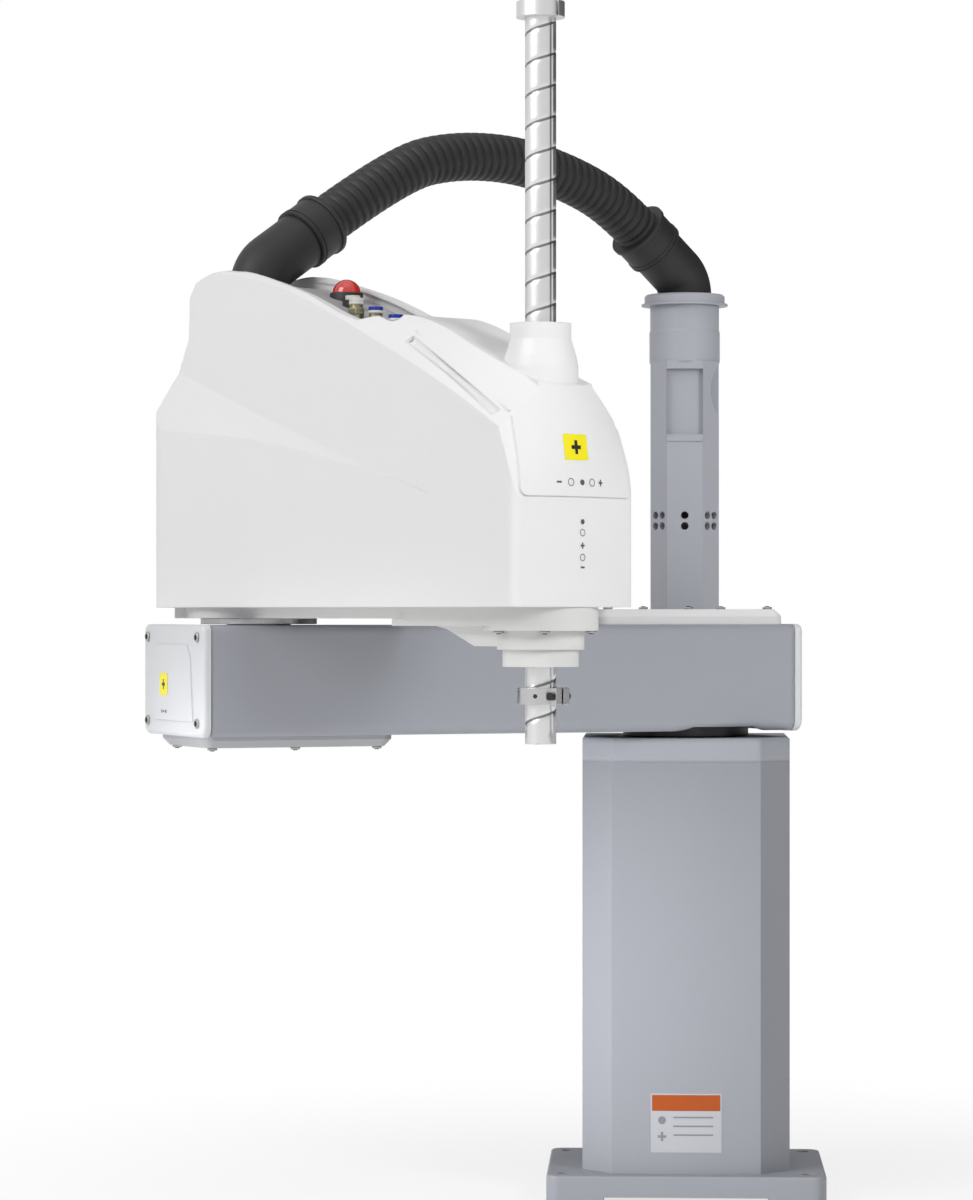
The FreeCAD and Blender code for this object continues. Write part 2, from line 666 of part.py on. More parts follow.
def end_cap_screws():
    screws = []
    reach = INNER_REACH + ARM_OVERHANG + END_CAP_THICK
    for y in (-54, 54):
        for z in (ARM_BOTTOM + 9, ARM_TOP - 8):
            for x, way in ((reach, 1), (-ARM_OVERHANG - END_CAP_THICK, -1)):
                screws.append(Part.makeCylinder(SCREW_R, SCREW_HEAD, Vector(x, y, z),
                                                Vector(way, 0, 0)))
    return screws


def cover(x0, x1, height, up):
    """Shallow lid with bevelled edges, on the arm's top face or, with up=-1, under it."""
    half = COVER_WIDTH / 2
    lid = rounded_block(x0, x1, -half, half, 0, height, 8)
    rim = [e for e in lid.Edges if e.BoundBox.ZMin > height - 0.01]
    lid = lid.makeChamfer(COVER_BEVEL, rim)
    edge = COVER_BEVEL + COVER_WALL + 4
    lid = lid.cut(box(x0 + edge, x1 - edge, -half + edge, half - edge, -1, height - COVER_WALL))
    if up < 0:
        lid = lid.mirror(Vector(0, 0, 0), Vector(0, 0, 1))
    lid.translate(Vector(0, 0, ARM_TOP if up > 0 else ARM_BOTTOM))
    return lid


def cover_screws():
    screws = []
    for y in (-COVER_WIDTH / 2 + COVER_SCREW_INSET, COVER_WIDTH / 2 - COVER_SCREW_INSET):
        for share in (0, 0.5, 1):
            for ends, z, up in ((TOP_COVER_ENDS, ARM_TOP + TOP_COVER_HEIGHT, 1),
                                (BOTTOM_COVER_ENDS, ARM_BOTTOM - BOTTOM_COVER_HEIGHT, -1)):
                first = ends[0] + COVER_SCREW_INSET
                last = ends[1] - COVER_SCREW_INSET
                screws.append(screw(first + share * (last - first), y, z, up))
    return screws


def j2_reducer_case():
    body = cylinder(INNER_REACH, 0, ARM_TOP - J2_CASE_DEPTH, ARM_TOP, J2_CASE_R)
    rim = cylinder(INNER_REACH, 0, ARM_TOP - ARM_WALL - 8, ARM_TOP - ARM_WALL, J2_CASE_R + 6)
    return fuse([body, rim]).cut(cylinder(INNER_REACH, 0, ARM_TOP - J2_CASE_DEPTH - 1, ARM_TOP + 1,
                                          J2_SHAFT_R + RUNNING_GAP))


def build_inner_arm():
    outer_cap = end_cap(1)
    outer_cap.translate(Vector(INNER_REACH + ARM_OVERHANG, 0, 0))
    inner_cap = end_cap(-1)
    inner_cap.translate(Vector(-ARM_OVERHANG, 0, 0))
    save("j1_output_flange", [j1_output_flange()])
    save("arm_tube", [arm_tube()], on_inner_arm)
    save("outer_end_cap", [outer_cap], on_inner_arm)
    save("inner_end_cap", [inner_cap], on_inner_arm)
    save("end_cap_screws", end_cap_screws(), on_inner_arm)
    save("top_cover", [cover(*TOP_COVER_ENDS, TOP_COVER_HEIGHT, 1)], on_inner_arm)
    save("bottom_cover", [cover(*BOTTOM_COVER_ENDS, BOTTOM_COVER_HEIGHT, -1)], on_inner_arm)
    save("cover_screws", cover_screws(), on_inner_arm)
    save("j2_reducer_case", [j2_reducer_case()], on_inner_arm)


# Outer arm housing

def spline(points, s):
    """Smooth curve through (t, z) points in the upright plane at s."""
    curve = Part.BSplineCurve()
    curve.interpolate([Vector(t, s, z) for t, z in points])
    return curve.toShape()


def closed_above(points, s, top):
    """Closed outline with the smooth curve below and straight sides up to height top."""
    first = Vector(points[0][0], s, points[0][1])
    last = Vector(points[-1][0], s, points[-1][1])
    sides = [Part.makeLine(last, Vector(last.x, s, top)),
             Part.makeLine(Vector(last.x, s, top), Vector(first.x, s, top)),
             Part.makeLine(Vector(first.x, s, top), first)]
    return Part.Wire([spline(points, s)] + sides)


def slanted_cutter(line, insets, steepness, depth, drop):
    """Body above a slanted strip that rises inwards from the side of the housing.

    insets say how far inside the side plane each point of the line lies, and steepness is
    the strip's rise per millimetre inwards there.
    """
    wires = []
    for inward in (-3.0, depth):
        points = [(t, z - drop + k * (inward - w))
                  for (t, z), w, k in zip(line, insets, steepness)]
        wires.append(closed_above(points, -HOUSING_HALF + inward, ABOVE))
    return Part.makeLoft(wires, True, True)


def shoulder_region(inset):
    """Space outside the upper body's side planes, which lean in towards the rear."""
    side = -HOUSING_HALF + inset
    slope = SHOULDER_INSET / (SHOULDER_END - SHOULDER_START)
    rear_t = SHOULDER_START - 80
    rear_s = side + slope * (SHOULDER_END - rear_t)
    return prism(((rear_t, rear_s), (SHOULDER_END, side), (SHOULDER_END, side - 20),
                  (rear_t, side - 20)), BELOW, ABOVE)


def housing_outline(inset, forward=0.0):
    """Outline of the housing from above: round rear corners and a bulged front."""
    half = HOUSING_HALF - inset
    rear = HOUSING_REAR + inset
    front = HOUSING_FRONT - inset + forward
    round_r = HOUSING_REAR_ROUND - inset
    nose_r = max(HOUSING_FRONT_ROUND - inset, 1.0)
    diag = math.sqrt(0.5)
    edges = []
    for side in (-1, 1):
        rear_mid = Vector(rear + round_r * (1 - diag), side * (half - round_r * (1 - diag)), 0)
        edges.append(Part.Arc(Vector(rear, side * (half - round_r), 0), rear_mid,
                              Vector(rear + round_r, side * half, 0)).toShape())
        edges.append(Part.makeLine(Vector(rear + round_r, side * half, 0),
                                   Vector(front - nose_r, side * half, 0)))
        nose_mid = Vector(front - nose_r * (1 - diag), side * (half - nose_r * (1 - diag)), 0)
        edges.append(Part.Arc(Vector(front - nose_r, side * half, 0), nose_mid,
                              Vector(front, side * (half - nose_r), 0)).toShape())
    edges.append(Part.Arc(Vector(front, -half + nose_r, 0),
                          Vector(front + HOUSING_FRONT_BULGE, 0, 0),
                          Vector(front, half - nose_r, 0)).toShape())
    edges.append(Part.makeLine(Vector(rear, half - round_r, 0), Vector(rear, -half + round_r, 0)))
    return Part.Wire(Part.__sortEdges__(edges))


def side_profile(inset):
    """Outline seen from the side: rear wall, hood and sloping roof, open ahead of the front."""
    rear = [(t + inset, z) for t, z in REAR_STATIONS]
    roof = [(t, z - inset) for t, z in ROOF_LINE]
    ahead = HOUSING_FRONT + 2 * HOUSING_FRONT_BULGE
    corners = [roof[-1], (ahead, roof[-1][1]), (ahead, rear[0][1]), rear[0]]
    hood = [rear[-1], (-30.0 + inset, 604.0), (-29.0 + inset, 632.0), roof[0]]
    edges = [spline(rear, 0), spline(roof[:6], 0), spline(roof[5:], 0)]
    for points in (hood, corners):
        edges += [Part.makeLine(Vector(a[0], 0, a[1]), Vector(b[0], 0, b[1]))
                  for a, b in zip(points, points[1:])]
    return Part.Wire(Part.__sortEdges__(edges))


def front_cutter(inset):
    """Everything ahead of the housing's curved front, which lies back towards its sides."""
    wires = []
    for share in (-1.0, -0.5, 0.0, 0.5, 1.0):
        s = share * FRONT_SHEET_WIDTH
        curve = Part.BSplineCurve()
        curve.interpolate([Vector(OUTER_REACH + ahead - back * (s / HOUSING_HALF) ** 2 - inset, s, z)
                           for ahead, back, z in FRONT_STATIONS])
        wires.append(Part.Wire([curve.toShape()]))
    sheet = Part.makeLoft(wires, False, False).Faces[0]
    return sheet.extrude(Vector(4 * HOUSING_FRONT_REACH, 0, 0))


def both_sides(shape):
    return [shape, shape.mirror(Vector(0, 0, 0), Vector(0, 1, 0))]


def housing_form(inset, forward=0.0):
    """Outer form of the housing, or the form inside its wall for a positive inset.

    forward moves only the front outwards.
    """
    plan = Part.Face(housing_outline(inset, forward)).extrude(Vector(0, 0, ABOVE - BELOW))
    plan.translate(Vector(0, 0, FLOOR_BOTTOM))
    profile = Part.Face(side_profile(inset))
    profile.translate(Vector(0, -2 * HOUSING_HALF, 0))
    form = plan.common(profile.extrude(Vector(0, 4 * HOUSING_HALF, 0)))
    form = form.cut(front_cutter(1.2 * inset - forward))
    ones = [1.0] * len(CREASE_LINE)
    crease = slanted_cutter(CREASE_LINE, CREASE_INSETS, ones, 30.0, 1.3 * inset)
    flat = [0.0] * len(SHOULDER_LINE)
    ledge = slanted_cutter(SHOULDER_LINE, flat, SHOULDER_STEEPNESS, 26.0, 1.3 * inset)
    ledge = ledge.common(shoulder_region(inset))
    for cutter in both_sides(crease) + both_sides(ledge):
        form = form.cut(cutter)
    return form


def front_panel():
    """Raised middle of the front: the front moved forward within a tapered outline."""
    corners = list(PANEL_CORNERS) + [(-s, z) for s, z in reversed(PANEL_CORNERS)]
    points = [Vector(OUTER_REACH - QUILL_BOSS_R, s, z) for s, z in corners]
    block = Part.Face(Part.makePolygon(points + points[:1])).extrude(Vector(100, 0, 0))
    low = PANEL_CORNERS[0][1]
    edges = [edge for edge in block.Edges if abs(edge.BoundBox.XLength - 100) < 0.1
             and edge.BoundBox.ZMax < low + 1]
    return housing_form(0, PANEL_RAISE).common(block.makeFillet(PANEL_CORNER_R, edges))


def rod(ends, radius):
    """Round rod between two places beside the front."""
    a, b = [Vector(along(share), -HOUSING_HALF + inwards, z) for share, inwards, z in ends]
    return Part.makeCylinder(radius, (b - a).Length, a, b - a)


def deck_opening(grow, sink):
    """Space over the deck: it follows the roof line, lower by sink."""
    points = [(t, z - sink) for t, z in DECK_LINE]
    rear = DECK_REAR - grow
    front = DECK_FRONT + grow
    half = DECK_HALF + grow
    wire = closed_above(points, -half, ABOVE)
    space = Part.Face(wire).extrude(Vector(0, 2 * half, 0))
    return space.common(rounded_block(rear, front, -half, half, BELOW, ABOVE - 1, 8))


def housing_cover():
    inner = housing_form(HOUSING_WALL)
    shell = housing_form(0).fuse(front_panel())
    for groove, rib in zip(both_sides(rod(GROOVE_ENDS, GROOVE_R)), both_sides(rod(RIB_ENDS, RIB_R))):
        shell = shell.fuse(rib).cut(groove)
    shell = shell.cut(inner)
    t = OUTER_REACH
    boss = revolve(((0, QUILL_FLARE_BOTTOM), (QUILL_FLARE_R, QUILL_FLARE_BOTTOM),
                    (QUILL_FLARE_R - 0.4, QUILL_BOSS_STEP - 17.4),
                    (QUILL_BOSS_R + 3.2, QUILL_BOSS_STEP - 10.5), (QUILL_BOSS_R, QUILL_BOSS_STEP),
                    (QUILL_BOSS_R, QUILL_BOSS_TOP), (0, QUILL_BOSS_TOP)), t, 0)
    boss = boss.cut(inner)
    shell = shell.fuse(boss)
    shell = shell.cut(deck_opening(0, DECK_SINK + DECK_THICK + 12))
    shell = shell.cut(cylinder(t, 0, BRACKET_TOP, QUILL_BOSS_TOP + 1, SHAFT_R + 2))
    return largest(shell)


def largest(shape):
    return sorted(shape.Solids, key=lambda solid: solid.Volume)[-1]


def deck_panel():
    top = deck_opening(-HOUSING_CLEAR, DECK_SINK)
    below = deck_opening(-HOUSING_CLEAR, DECK_SINK + DECK_THICK)
    panel = below.cut(top)
    panel = panel.cut(cylinder(0, 0, BELOW, ABOVE, ELBOW_R + FREE_GAP))
    t, s = BUTTON_PLACE
    return largest(panel.cut(cylinder(t, s, BELOW, ABOVE, BUTTON_R - 2)))


def deck_height(t):
    """Height of the deck's upper face at t."""
    upright = Part.makeLine(Vector(t, 0, BELOW), Vector(t, 0, ABOVE))
    return spline(DECK_LINE, 0).distToShape(upright)[1][0][0].z - DECK_SINK


def seated(shape):
    """The part of a shape that stands above the deck."""
    return shape.common(deck_opening(-FREE_GAP, DECK_SINK - DECK_SEAT_GAP))


def dome(t, s, z, radius):
    cap = Part.makeSphere(radius, Vector(t, s, z))
    return cap.common(cylinder(t, s, z, z + radius + 1, radius + 1))


def status_lamp():
    t, s = LAMP_PLACE
    top = deck_height(t) + LAMP_BASE
    base = seated(cylinder(t, s, top - 12, top, LAMP_R + 1))
    return fuse([base, dome(t, s, top, LAMP_R)])


def button_guard():
    t, s = BUTTON_PLACE
    top = deck_height(t) + BUTTON_GUARD_HEIGHT
    return seated(ring(t, s, top - 12, top, BUTTON_R + 2, BUTTON_R + 0.4))


def brake_button():
    t, s = BUTTON_PLACE
    top = deck_height(t) + BUTTON_GUARD_HEIGHT + BUTTON_TRAVEL + 1
    cap = cylinder(t, s, top - 4, top, BUTTON_R)
    stem = cylinder(t, s, top - 18, top - 3, BUTTON_R - 2.4)
    return fuse([cap, stem])


def fitting_bodies():
    bodies = []
    for t, s in FITTING_PLACES:
        top = deck_height(t) + FITTING_HEIGHT
        lower = seated(cylinder(t, s, top - 16, top - 4, FITTING_R))
        bodies.append(fuse([lower, cylinder(t, s, top - 4, top, FITTING_R - 0.9)]))
    return bodies


def fitting_collars(places):
    collars = []
    for t, s in places:
        top = deck_height(t) + FITTING_HEIGHT
        collars.append(cylinder(t, s, top + 0.1, top + 2.5, FITTING_R - 0.4))
    return collars


def arm_casting():
    t = OUTER_REACH
    floor = Part.Face(housing_outline(HOUSING_WALL + HOUSING_CLEAR))
    floor = floor.extrude(Vector(0, 0, FLOOR_THICK))
    floor.translate(Vector(0, 0, FLOOR_BOTTOM))
    belly = rounded_block(-HUB_R, BELLY_FRONT, -BELLY_HALF, BELLY_HALF,
                          BELLY_BOTTOM, FLOOR_BOTTOM + 1, 12)
    hub = cylinder(0, 0, BELLY_BOTTOM, FLOOR_TOP + 6, HUB_R)
    web = ((BELLY_FRONT - 12, FLOOR_BOTTOM + 1), (BELLY_FRONT - 12, BELLY_BOTTOM),
           (t - 62, BOSS_BOTTOM + 1), (t - 36, NOSE_BOTTOM + 2), (t, NOSE_BOTTOM + 2),
           (t, FLOOR_BOTTOM + 1))
    corners = [Vector(x, -24, z) for x, z in web]
    web = Part.Face(Part.makePolygon(corners + corners[:1])).extrude(Vector(0, 48, 0))
    apron = prism(((BELLY_FRONT - 15, -BELLY_HALF + 3), (t, -BOSS_R + 2), (t, BOSS_R - 2),
                   (BELLY_FRONT - 15, BELLY_HALF - 3)), BOSS_BOTTOM + 3, FLOOR_BOTTOM + 1)
    boss = cylinder(t, 0, BOSS_BOTTOM, FLOOR_BOTTOM, BOSS_R)
    seat = cylinder(t, 0, FLOOR_TOP - 1, FLOOR_TOP + 15, BEARING_R + 4)
    nose = cylinder(t, 0, NOSE_BOTTOM, BOSS_BOTTOM + 1, NOSE_R)
    casting = fuse([floor, belly, hub, web, apron, boss, seat, nose])
    casting = casting.cut(cylinder(t, 0, BOSS_BOTTOM + 5, ABOVE, BEARING_R + SEAT_GAP))
    casting = casting.cut(cylinder(t, 0, BELOW, ABOVE, NUT_R + FREE_GAP))
    return casting.cut(cylinder(0, 0, BELOW, ABOVE, MOTOR_SHAFT_R + FREE_GAP))


def motor_bracket():
    """Bridge over the belts: a top plate on two side walls that stand on the casting's floor."""
    t = OUTER_REACH
    rear = LIFT_MOTOR_T - 36
    front = t + 20
    half = BRACKET_HALF
    plate = box(rear, front, -half, half, BRACKET_BOTTOM, BRACKET_TOP)
    walls = [box(rear, front, s0, s0 + 5, FLOOR_TOP, BRACKET_BOTTOM) for s0 in (-half, half - 5)]
    top = BRACKET_TOP + BRACKET_BOSS_HEIGHT
    boss = cylinder(t, 0, BRACKET_BOTTOM, top, BEARING_R + 3)
    bracket = fuse([plate, boss] + walls)
    bracket = bracket.cut(cylinder(t, 0, BRACKET_BOTTOM + 3, top + 1, BEARING_R + SEAT_GAP))
    bracket = bracket.cut(cylinder(t, 0, BRACKET_BOTTOM - 3, top + 1, NUT_R + FREE_GAP))
    for place in (LIFT_MOTOR_T, TURN_MOTOR_T):
        bracket = bracket.cut(cylinder(place, 0, BRACKET_BOTTOM - 1, BRACKET_TOP + 1,
                                       MOTOR_SHAFT_R + FREE_GAP))
    return bracket.cut(box(rear + 20, front - 60, -half - 1, half + 1,
                           FLOOR_TOP + 12, BRACKET_BOTTOM - 10))


def bearing(bottom, top):
    """Outer ring of a nut's bearing, with its inner ring shown as the nut itself."""
    return ring(OUTER_REACH, 0, bottom, top, BEARING_R, NUT_R + RUNNING_GAP)


def nut(bottom, top):
    return ring(OUTER_REACH, 0, bottom, top, NUT_R, SHAFT_R + RUNNING_GAP)


def nut_pulley(z):
    return ring(OUTER_REACH, 0, z, z + PULLEY_HEIGHT, PULLEY_R, NUT_R + SEAT_GAP)


def motor_pulley(t, z, radius):
    return ring(t, 0, z, z + PULLEY_HEIGHT, radius, MOTOR_SHAFT_R + RUNNING_GAP)


def belt(t, z, radius):
    """Belt round a motor pulley and a nut pulley, with its two straight strands."""
    gap = 0.3
    z0 = z + (PULLEY_HEIGHT - BELT_WIDTH) / 2
    outlines = []
    for grow in (gap + BELT_THICK, gap):
        small = radius + grow
        large = PULLEY_R + grow
        angle = math.asin((large - small) / (OUTER_REACH - t))
        sine, cosine = math.sin(angle), math.cos(angle)
        near = [Vector(t - small * sine, side * small * cosine, z0) for side in (1, -1)]
        far = [Vector(OUTER_REACH - large * sine, side * large * cosine, z0) for side in (1, -1)]
        edges = [Part.Arc(near[0], Vector(t - small, 0, z0), near[1]).toShape(),
                 Part.makeLine(near[1], far[1]),
                 Part.Arc(far[1], Vector(OUTER_REACH + large, 0, z0), far[0]).toShape(),
                 Part.makeLine(far[0], near[0])]
        outlines.append(Part.Face(Part.Wire(edges)).extrude(Vector(0, 0, BELT_WIDTH)))
    return outlines[0].cut(outlines[1])


def seal_ring():
    return ring(OUTER_REACH, 0, SEAL_BOTTOM, NOSE_BOTTOM, SEAL_R, SHAFT_R + FREE_GAP)


def hose_seat():
    top = ROOF_LINE[1][1] - DECK_SINK + 1
    return seated(ring(0, 0, top - 14, top, ELBOW_R + 4.5, ELBOW_R + FREE_GAP))


def casting_screws():
    """Screws of the boss flange, seen from below."""
    screws = []
    for turn in (-100, -40, 40, 100):
        angle = math.radians(turn)
        screws.append(screw(OUTER_REACH + 32.5 * math.cos(angle), 32.5 * math.sin(angle),
                            BOSS_BOTTOM, -1))
    return screws


def j2_output_flange():
    z = ARM_TOP + AXIS_GAP
    flange = fuse([cylinder(0, 0, z, z + J2_OUTPUT_THICK, J2_OUTPUT_R),
                   cylinder(0, 0, ARM_TOP - 30, z, J2_SHAFT_R)])
    return flange.cut(cylinder(0, 0, BELOW, ABOVE, MOTOR_SHAFT_R + FREE_GAP))


def build_outer_arm():
    bracket_top = BRACKET_TOP
    turn_shaft = bracket_top - SPLINE_PULLEY_BOTTOM
    lift_shaft = bracket_top - BALL_PULLEY_BOTTOM
    save("j2_output_flange", [j2_output_flange()], on_outer_arm)
    save("arm_casting", [arm_casting()], on_outer_arm)
    save("j2_motor", [motor(0, 0, FLOOR_TOP + 6, J2_MOTOR_SIZE, J2_MOTOR_LENGTH, 30, -1)],
         on_outer_arm)
    save("housing_cover", [housing_cover()], on_outer_arm)
    save("deck_panel", [deck_panel()], on_outer_arm)
    save("status_lamp", [status_lamp()], on_outer_arm)
    save("button_guard", [button_guard()], on_outer_arm)
    save("brake_button", [brake_button()], on_outer_arm)
    save("fitting_bodies", fitting_bodies(), on_outer_arm)
    blue = [FITTING_PLACES[index] for index in BLUE_FITTINGS]
    white = [place for place in FITTING_PLACES if place not in blue]
    save("blue_collars", fitting_collars(blue), on_outer_arm)
    save("white_collars", fitting_collars(white), on_outer_arm)
    save("hose_seat", [hose_seat()], on_outer_arm)
    save("motor_bracket", [motor_bracket()], on_outer_arm)
    save("lift_motor", [motor(LIFT_MOTOR_T, 0, bracket_top, LIFT_MOTOR_SIZE, LIFT_MOTOR_LENGTH,
                              lift_shaft, -1)], on_outer_arm)
    save("turn_motor", [motor(TURN_MOTOR_T, 0, bracket_top, TURN_MOTOR_SIZE, TURN_MOTOR_LENGTH,
                              turn_shaft, -1)], on_outer_arm)
    save("lift_motor_pulley", [motor_pulley(LIFT_MOTOR_T, BALL_PULLEY_BOTTOM, LIFT_PULLEY_R)],
         on_outer_arm)
    save("turn_motor_pulley", [motor_pulley(TURN_MOTOR_T, SPLINE_PULLEY_BOTTOM, TURN_PULLEY_R)],
         on_outer_arm)
    save("lift_belt", [belt(LIFT_MOTOR_T, BALL_PULLEY_BOTTOM, LIFT_PULLEY_R)], on_outer_arm)
    save("turn_belt", [belt(TURN_MOTOR_T, SPLINE_PULLEY_BOTTOM, TURN_PULLEY_R)], on_outer_arm)
    save("lower_bearing", [bearing(BOSS_BOTTOM + 5, FLOOR_TOP + 13)], on_outer_arm)
    save("upper_bearing", [bearing(BRACKET_BOTTOM + 3, BRACKET_TOP + BRACKET_BOSS_HEIGHT - 2)],
         on_outer_arm)
    save("seal_ring", [seal_ring()], on_outer_arm)
    save("casting_screws", casting_screws(), on_outer_arm)


# Shaft unit

def shaft():
    """Hollow shaft with a shallow relief between its clamp collar and its free lower end."""
    tube = ring(OUTER_REACH, 0, SHAFT_BOTTOM, SHAFT_TOP - TOP_COLLAR_HEIGHT / 2,
                SHAFT_R, SHAFT_BORE_R)
    relief = ring(OUTER_REACH, 0, CLAMP_BOTTOM - 2, CLAMP_BOTTOM - 1, SHAFT_R + 1, SHAFT_R - 0.3)
    return tube.cut(relief)


def top_collar():
    collar = ring(OUTER_REACH, 0, SHAFT_TOP - TOP_COLLAR_HEIGHT, SHAFT_TOP,
                  TOP_COLLAR_R, SHAFT_R + SEAT_GAP)
    collar = collar.cut(box(OUTER_REACH, OUTER_REACH + 20, -0.8, 0.8,
                            SHAFT_TOP - TOP_COLLAR_HEIGHT - 1, SHAFT_TOP + 1))
    return collar


def clamp_collar():
    """Split clamp collar with two ears that its screw pulls together."""
    top = CLAMP_BOTTOM + CLAMP_HEIGHT
    body = cylinder(OUTER_REACH, 0, CLAMP_BOTTOM, top, CLAMP_R)
    ears = box(OUTER_REACH, OUTER_REACH + CLAMP_R + 5, -6, 6, CLAMP_BOTTOM, top)
    collar = fuse([body, ears])
    collar = collar.cut(cylinder(OUTER_REACH, 0, BELOW, ABOVE, SHAFT_R + SEAT_GAP))
    return collar.cut(box(OUTER_REACH, OUTER_REACH + CLAMP_R + 6, -0.8, 0.8, BELOW, ABOVE))


def clamp_screws():
    z = CLAMP_BOTTOM + CLAMP_HEIGHT / 2
    x = OUTER_REACH + CLAMP_R + 1.5
    return [Part.makeCylinder(2.6, 2.2, Vector(x, side * 6, z), Vector(0, side, 0))
            for side in (-1, 1)]


def build_shaft_unit():
    save("spline_nut", [nut(SPLINE_NUT_BOTTOM, SPLINE_PULLEY_BOTTOM + PULLEY_HEIGHT)],
         on_outer_arm)
    save("spline_nut_pulley", [nut_pulley(SPLINE_PULLEY_BOTTOM)], on_outer_arm)
    save("ball_nut", [nut(BALL_PULLEY_BOTTOM, BALL_NUT_TOP)], on_outer_arm)
    save("ball_nut_pulley", [nut_pulley(BALL_PULLEY_BOTTOM)], on_outer_arm)
    save("shaft", [shaft()], on_outer_arm)
    save("top_collar", [top_collar()], on_outer_arm)
    save("clamp_collar", [clamp_collar()], on_outer_arm)
    save("clamp_screws", clamp_screws(), on_outer_arm)


# Hose

def hose_place(m, z):
    point = J2_POINT + HOSE_HEADING * m
    return Vector(point.x, point.y, z)


def bent_path(points):
    """Straight runs joined by tangent arcs, each as large as its two runs allow."""
    edges = []
    start = points[0]
    for before, corner, after in zip(points, points[1:], points[2:]):
        first = (corner - before)
        second = (after - corner)
        half_turn = first.getAngle(second) / 2
        reach = 0.45 * min(first.Length, second.Length)
        radius = reach / math.tan(half_turn)
        print("hose radius", round(radius, 1))
        into = corner - first * (reach / first.Length)
        out = corner + second * (reach / second.Length)
        bisector = (into + out) * 0.5 - corner
        rise = radius / math.cos(half_turn) - radius
        middle = corner + bisector * (rise / bisector.Length)
        edges.append(Part.makeLine(start, into))
        edges.append(Part.Arc(into, middle, out).toShape())
        start = out
    edges.append(Part.makeLine(start, points[-1]))
    return Part.Wire(edges)


def hose():
    points = [hose_place(m, z) for m, z in HOSE_POINTS]
    path = bent_path(points)
    section = Part.Wire(Part.makeCircle(HOSE_R, points[0], points[1] - points[0]))
    tube = path.makePipeShell([section], True, False)
    share = tube.Volume / (math.pi * HOSE_R ** 2 * path.Length)
    print("hose length", round(path.Length, 1), "volume share", round(share, 4))
    return tube


def elbow(base_m, foot, face, tilt):
    """Elbow on an upright spigot, and the collar that ends at the hose's face.

    foot is the spigot's lowest height. face is the hose's end as distance and height, and
    tilt is the angle in degrees at which the hose rises there.
    """
    way = math.copysign(1, face[0] - base_m)
    tilt = math.radians(tilt)
    direction = HOSE_HEADING * (way * math.cos(tilt)) + Vector(0, 0, math.sin(tilt))
    reach = abs(face[0] - base_m)
    corner = hose_place(base_m, face[1] - reach * math.tan(tilt))
    length = reach / math.cos(tilt) - COLLAR_LENGTH
    bend = math.pi / 2 - tilt
    tangent = ELBOW_BEND_R * math.tan(bend / 2)
    base = Vector(corner.x, corner.y, foot)
    into = corner - Vector(0, 0, tangent)
    out = corner + direction * tangent
    outward = HOSE_HEADING * way
    centre = into + outward * ELBOW_BEND_R
    inward = Vector(0, 0, math.sin(bend / 2)) - outward * math.cos(bend / 2)
    middle = centre + inward * ELBOW_BEND_R
    end = corner + direction * length
    path = Part.Wire([Part.makeLine(base, into), Part.Arc(into, middle, out).toShape(),
                      Part.makeLine(out, end)])
    section = Part.Wire(Part.makeCircle(ELBOW_R, base, Vector(0, 0, 1)))
    body = path.makePipeShell([section], True, False)
    collar = Part.makeCylinder(COLLAR_R, COLLAR_LENGTH - SEAT_GAP, end, direction)
    return body, collar


def build_hose():
    arm_elbow, arm_collar = elbow(0, ARM_ELBOW_FOOT, ARM_END, ARM_ELBOW_TILT)
    pillar_elbow, pillar_collar = elbow(HOSE_SPAN, NECK_TOP + PILLAR_ELBOW_ABOVE_NECK,
                                        PILLAR_END, PILLAR_ELBOW_TILT)
    save("arm_elbow", [arm_elbow])
    save("arm_hose_collar", [arm_collar])
    save("pillar_elbow", [pillar_elbow])
    save("pillar_hose_collar", [pillar_collar])
    save("hose", [hose()])


os.makedirs("parts", exist_ok=True)
build_base()
build_inner_arm()
build_outer_arm()
build_shaft_unit()
build_hose()
print("shaft axis", on_outer_arm(Part.Vertex(OUTER_REACH, 0, 0)).Point)
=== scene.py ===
"""Looks of the SCARA robot: finishes, hose, shaft, fittings, screws, stickers and studio.

Lengths are in metres, as in the frame. Places on the outer arm are given along it, across
it and up, from the second axis. Places on the inner arm are given from the first axis.
"""
import json
import math

import bmesh
import bpy
from mathutils import Matrix, Vector
from mathutils.bvhtree import BVHTree

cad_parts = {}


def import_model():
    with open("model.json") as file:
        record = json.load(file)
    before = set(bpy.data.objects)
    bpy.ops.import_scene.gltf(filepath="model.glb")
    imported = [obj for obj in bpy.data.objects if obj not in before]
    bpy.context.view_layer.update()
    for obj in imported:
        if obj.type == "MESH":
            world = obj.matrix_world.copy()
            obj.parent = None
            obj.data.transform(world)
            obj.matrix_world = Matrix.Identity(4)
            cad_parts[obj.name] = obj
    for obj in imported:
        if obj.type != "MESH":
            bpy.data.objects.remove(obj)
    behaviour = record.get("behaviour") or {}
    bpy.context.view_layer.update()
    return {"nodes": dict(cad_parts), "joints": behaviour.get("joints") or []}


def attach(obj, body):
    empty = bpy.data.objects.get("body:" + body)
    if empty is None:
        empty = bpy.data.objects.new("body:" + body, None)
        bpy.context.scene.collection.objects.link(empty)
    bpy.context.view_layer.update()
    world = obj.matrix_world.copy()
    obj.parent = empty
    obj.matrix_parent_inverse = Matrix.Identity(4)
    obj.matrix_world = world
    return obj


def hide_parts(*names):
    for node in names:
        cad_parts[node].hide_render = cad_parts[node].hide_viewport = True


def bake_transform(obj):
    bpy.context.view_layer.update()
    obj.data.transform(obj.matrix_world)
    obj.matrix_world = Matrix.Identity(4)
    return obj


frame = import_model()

# Joint axes and the directions of the two arms, from the frame
joint_place = {joint["name"]: Vector(joint["pos_m"]) for joint in frame["joints"]
               if "pos_m" in joint}
J2 = joint_place["j2"]
SHAFT = joint_place["turn"]
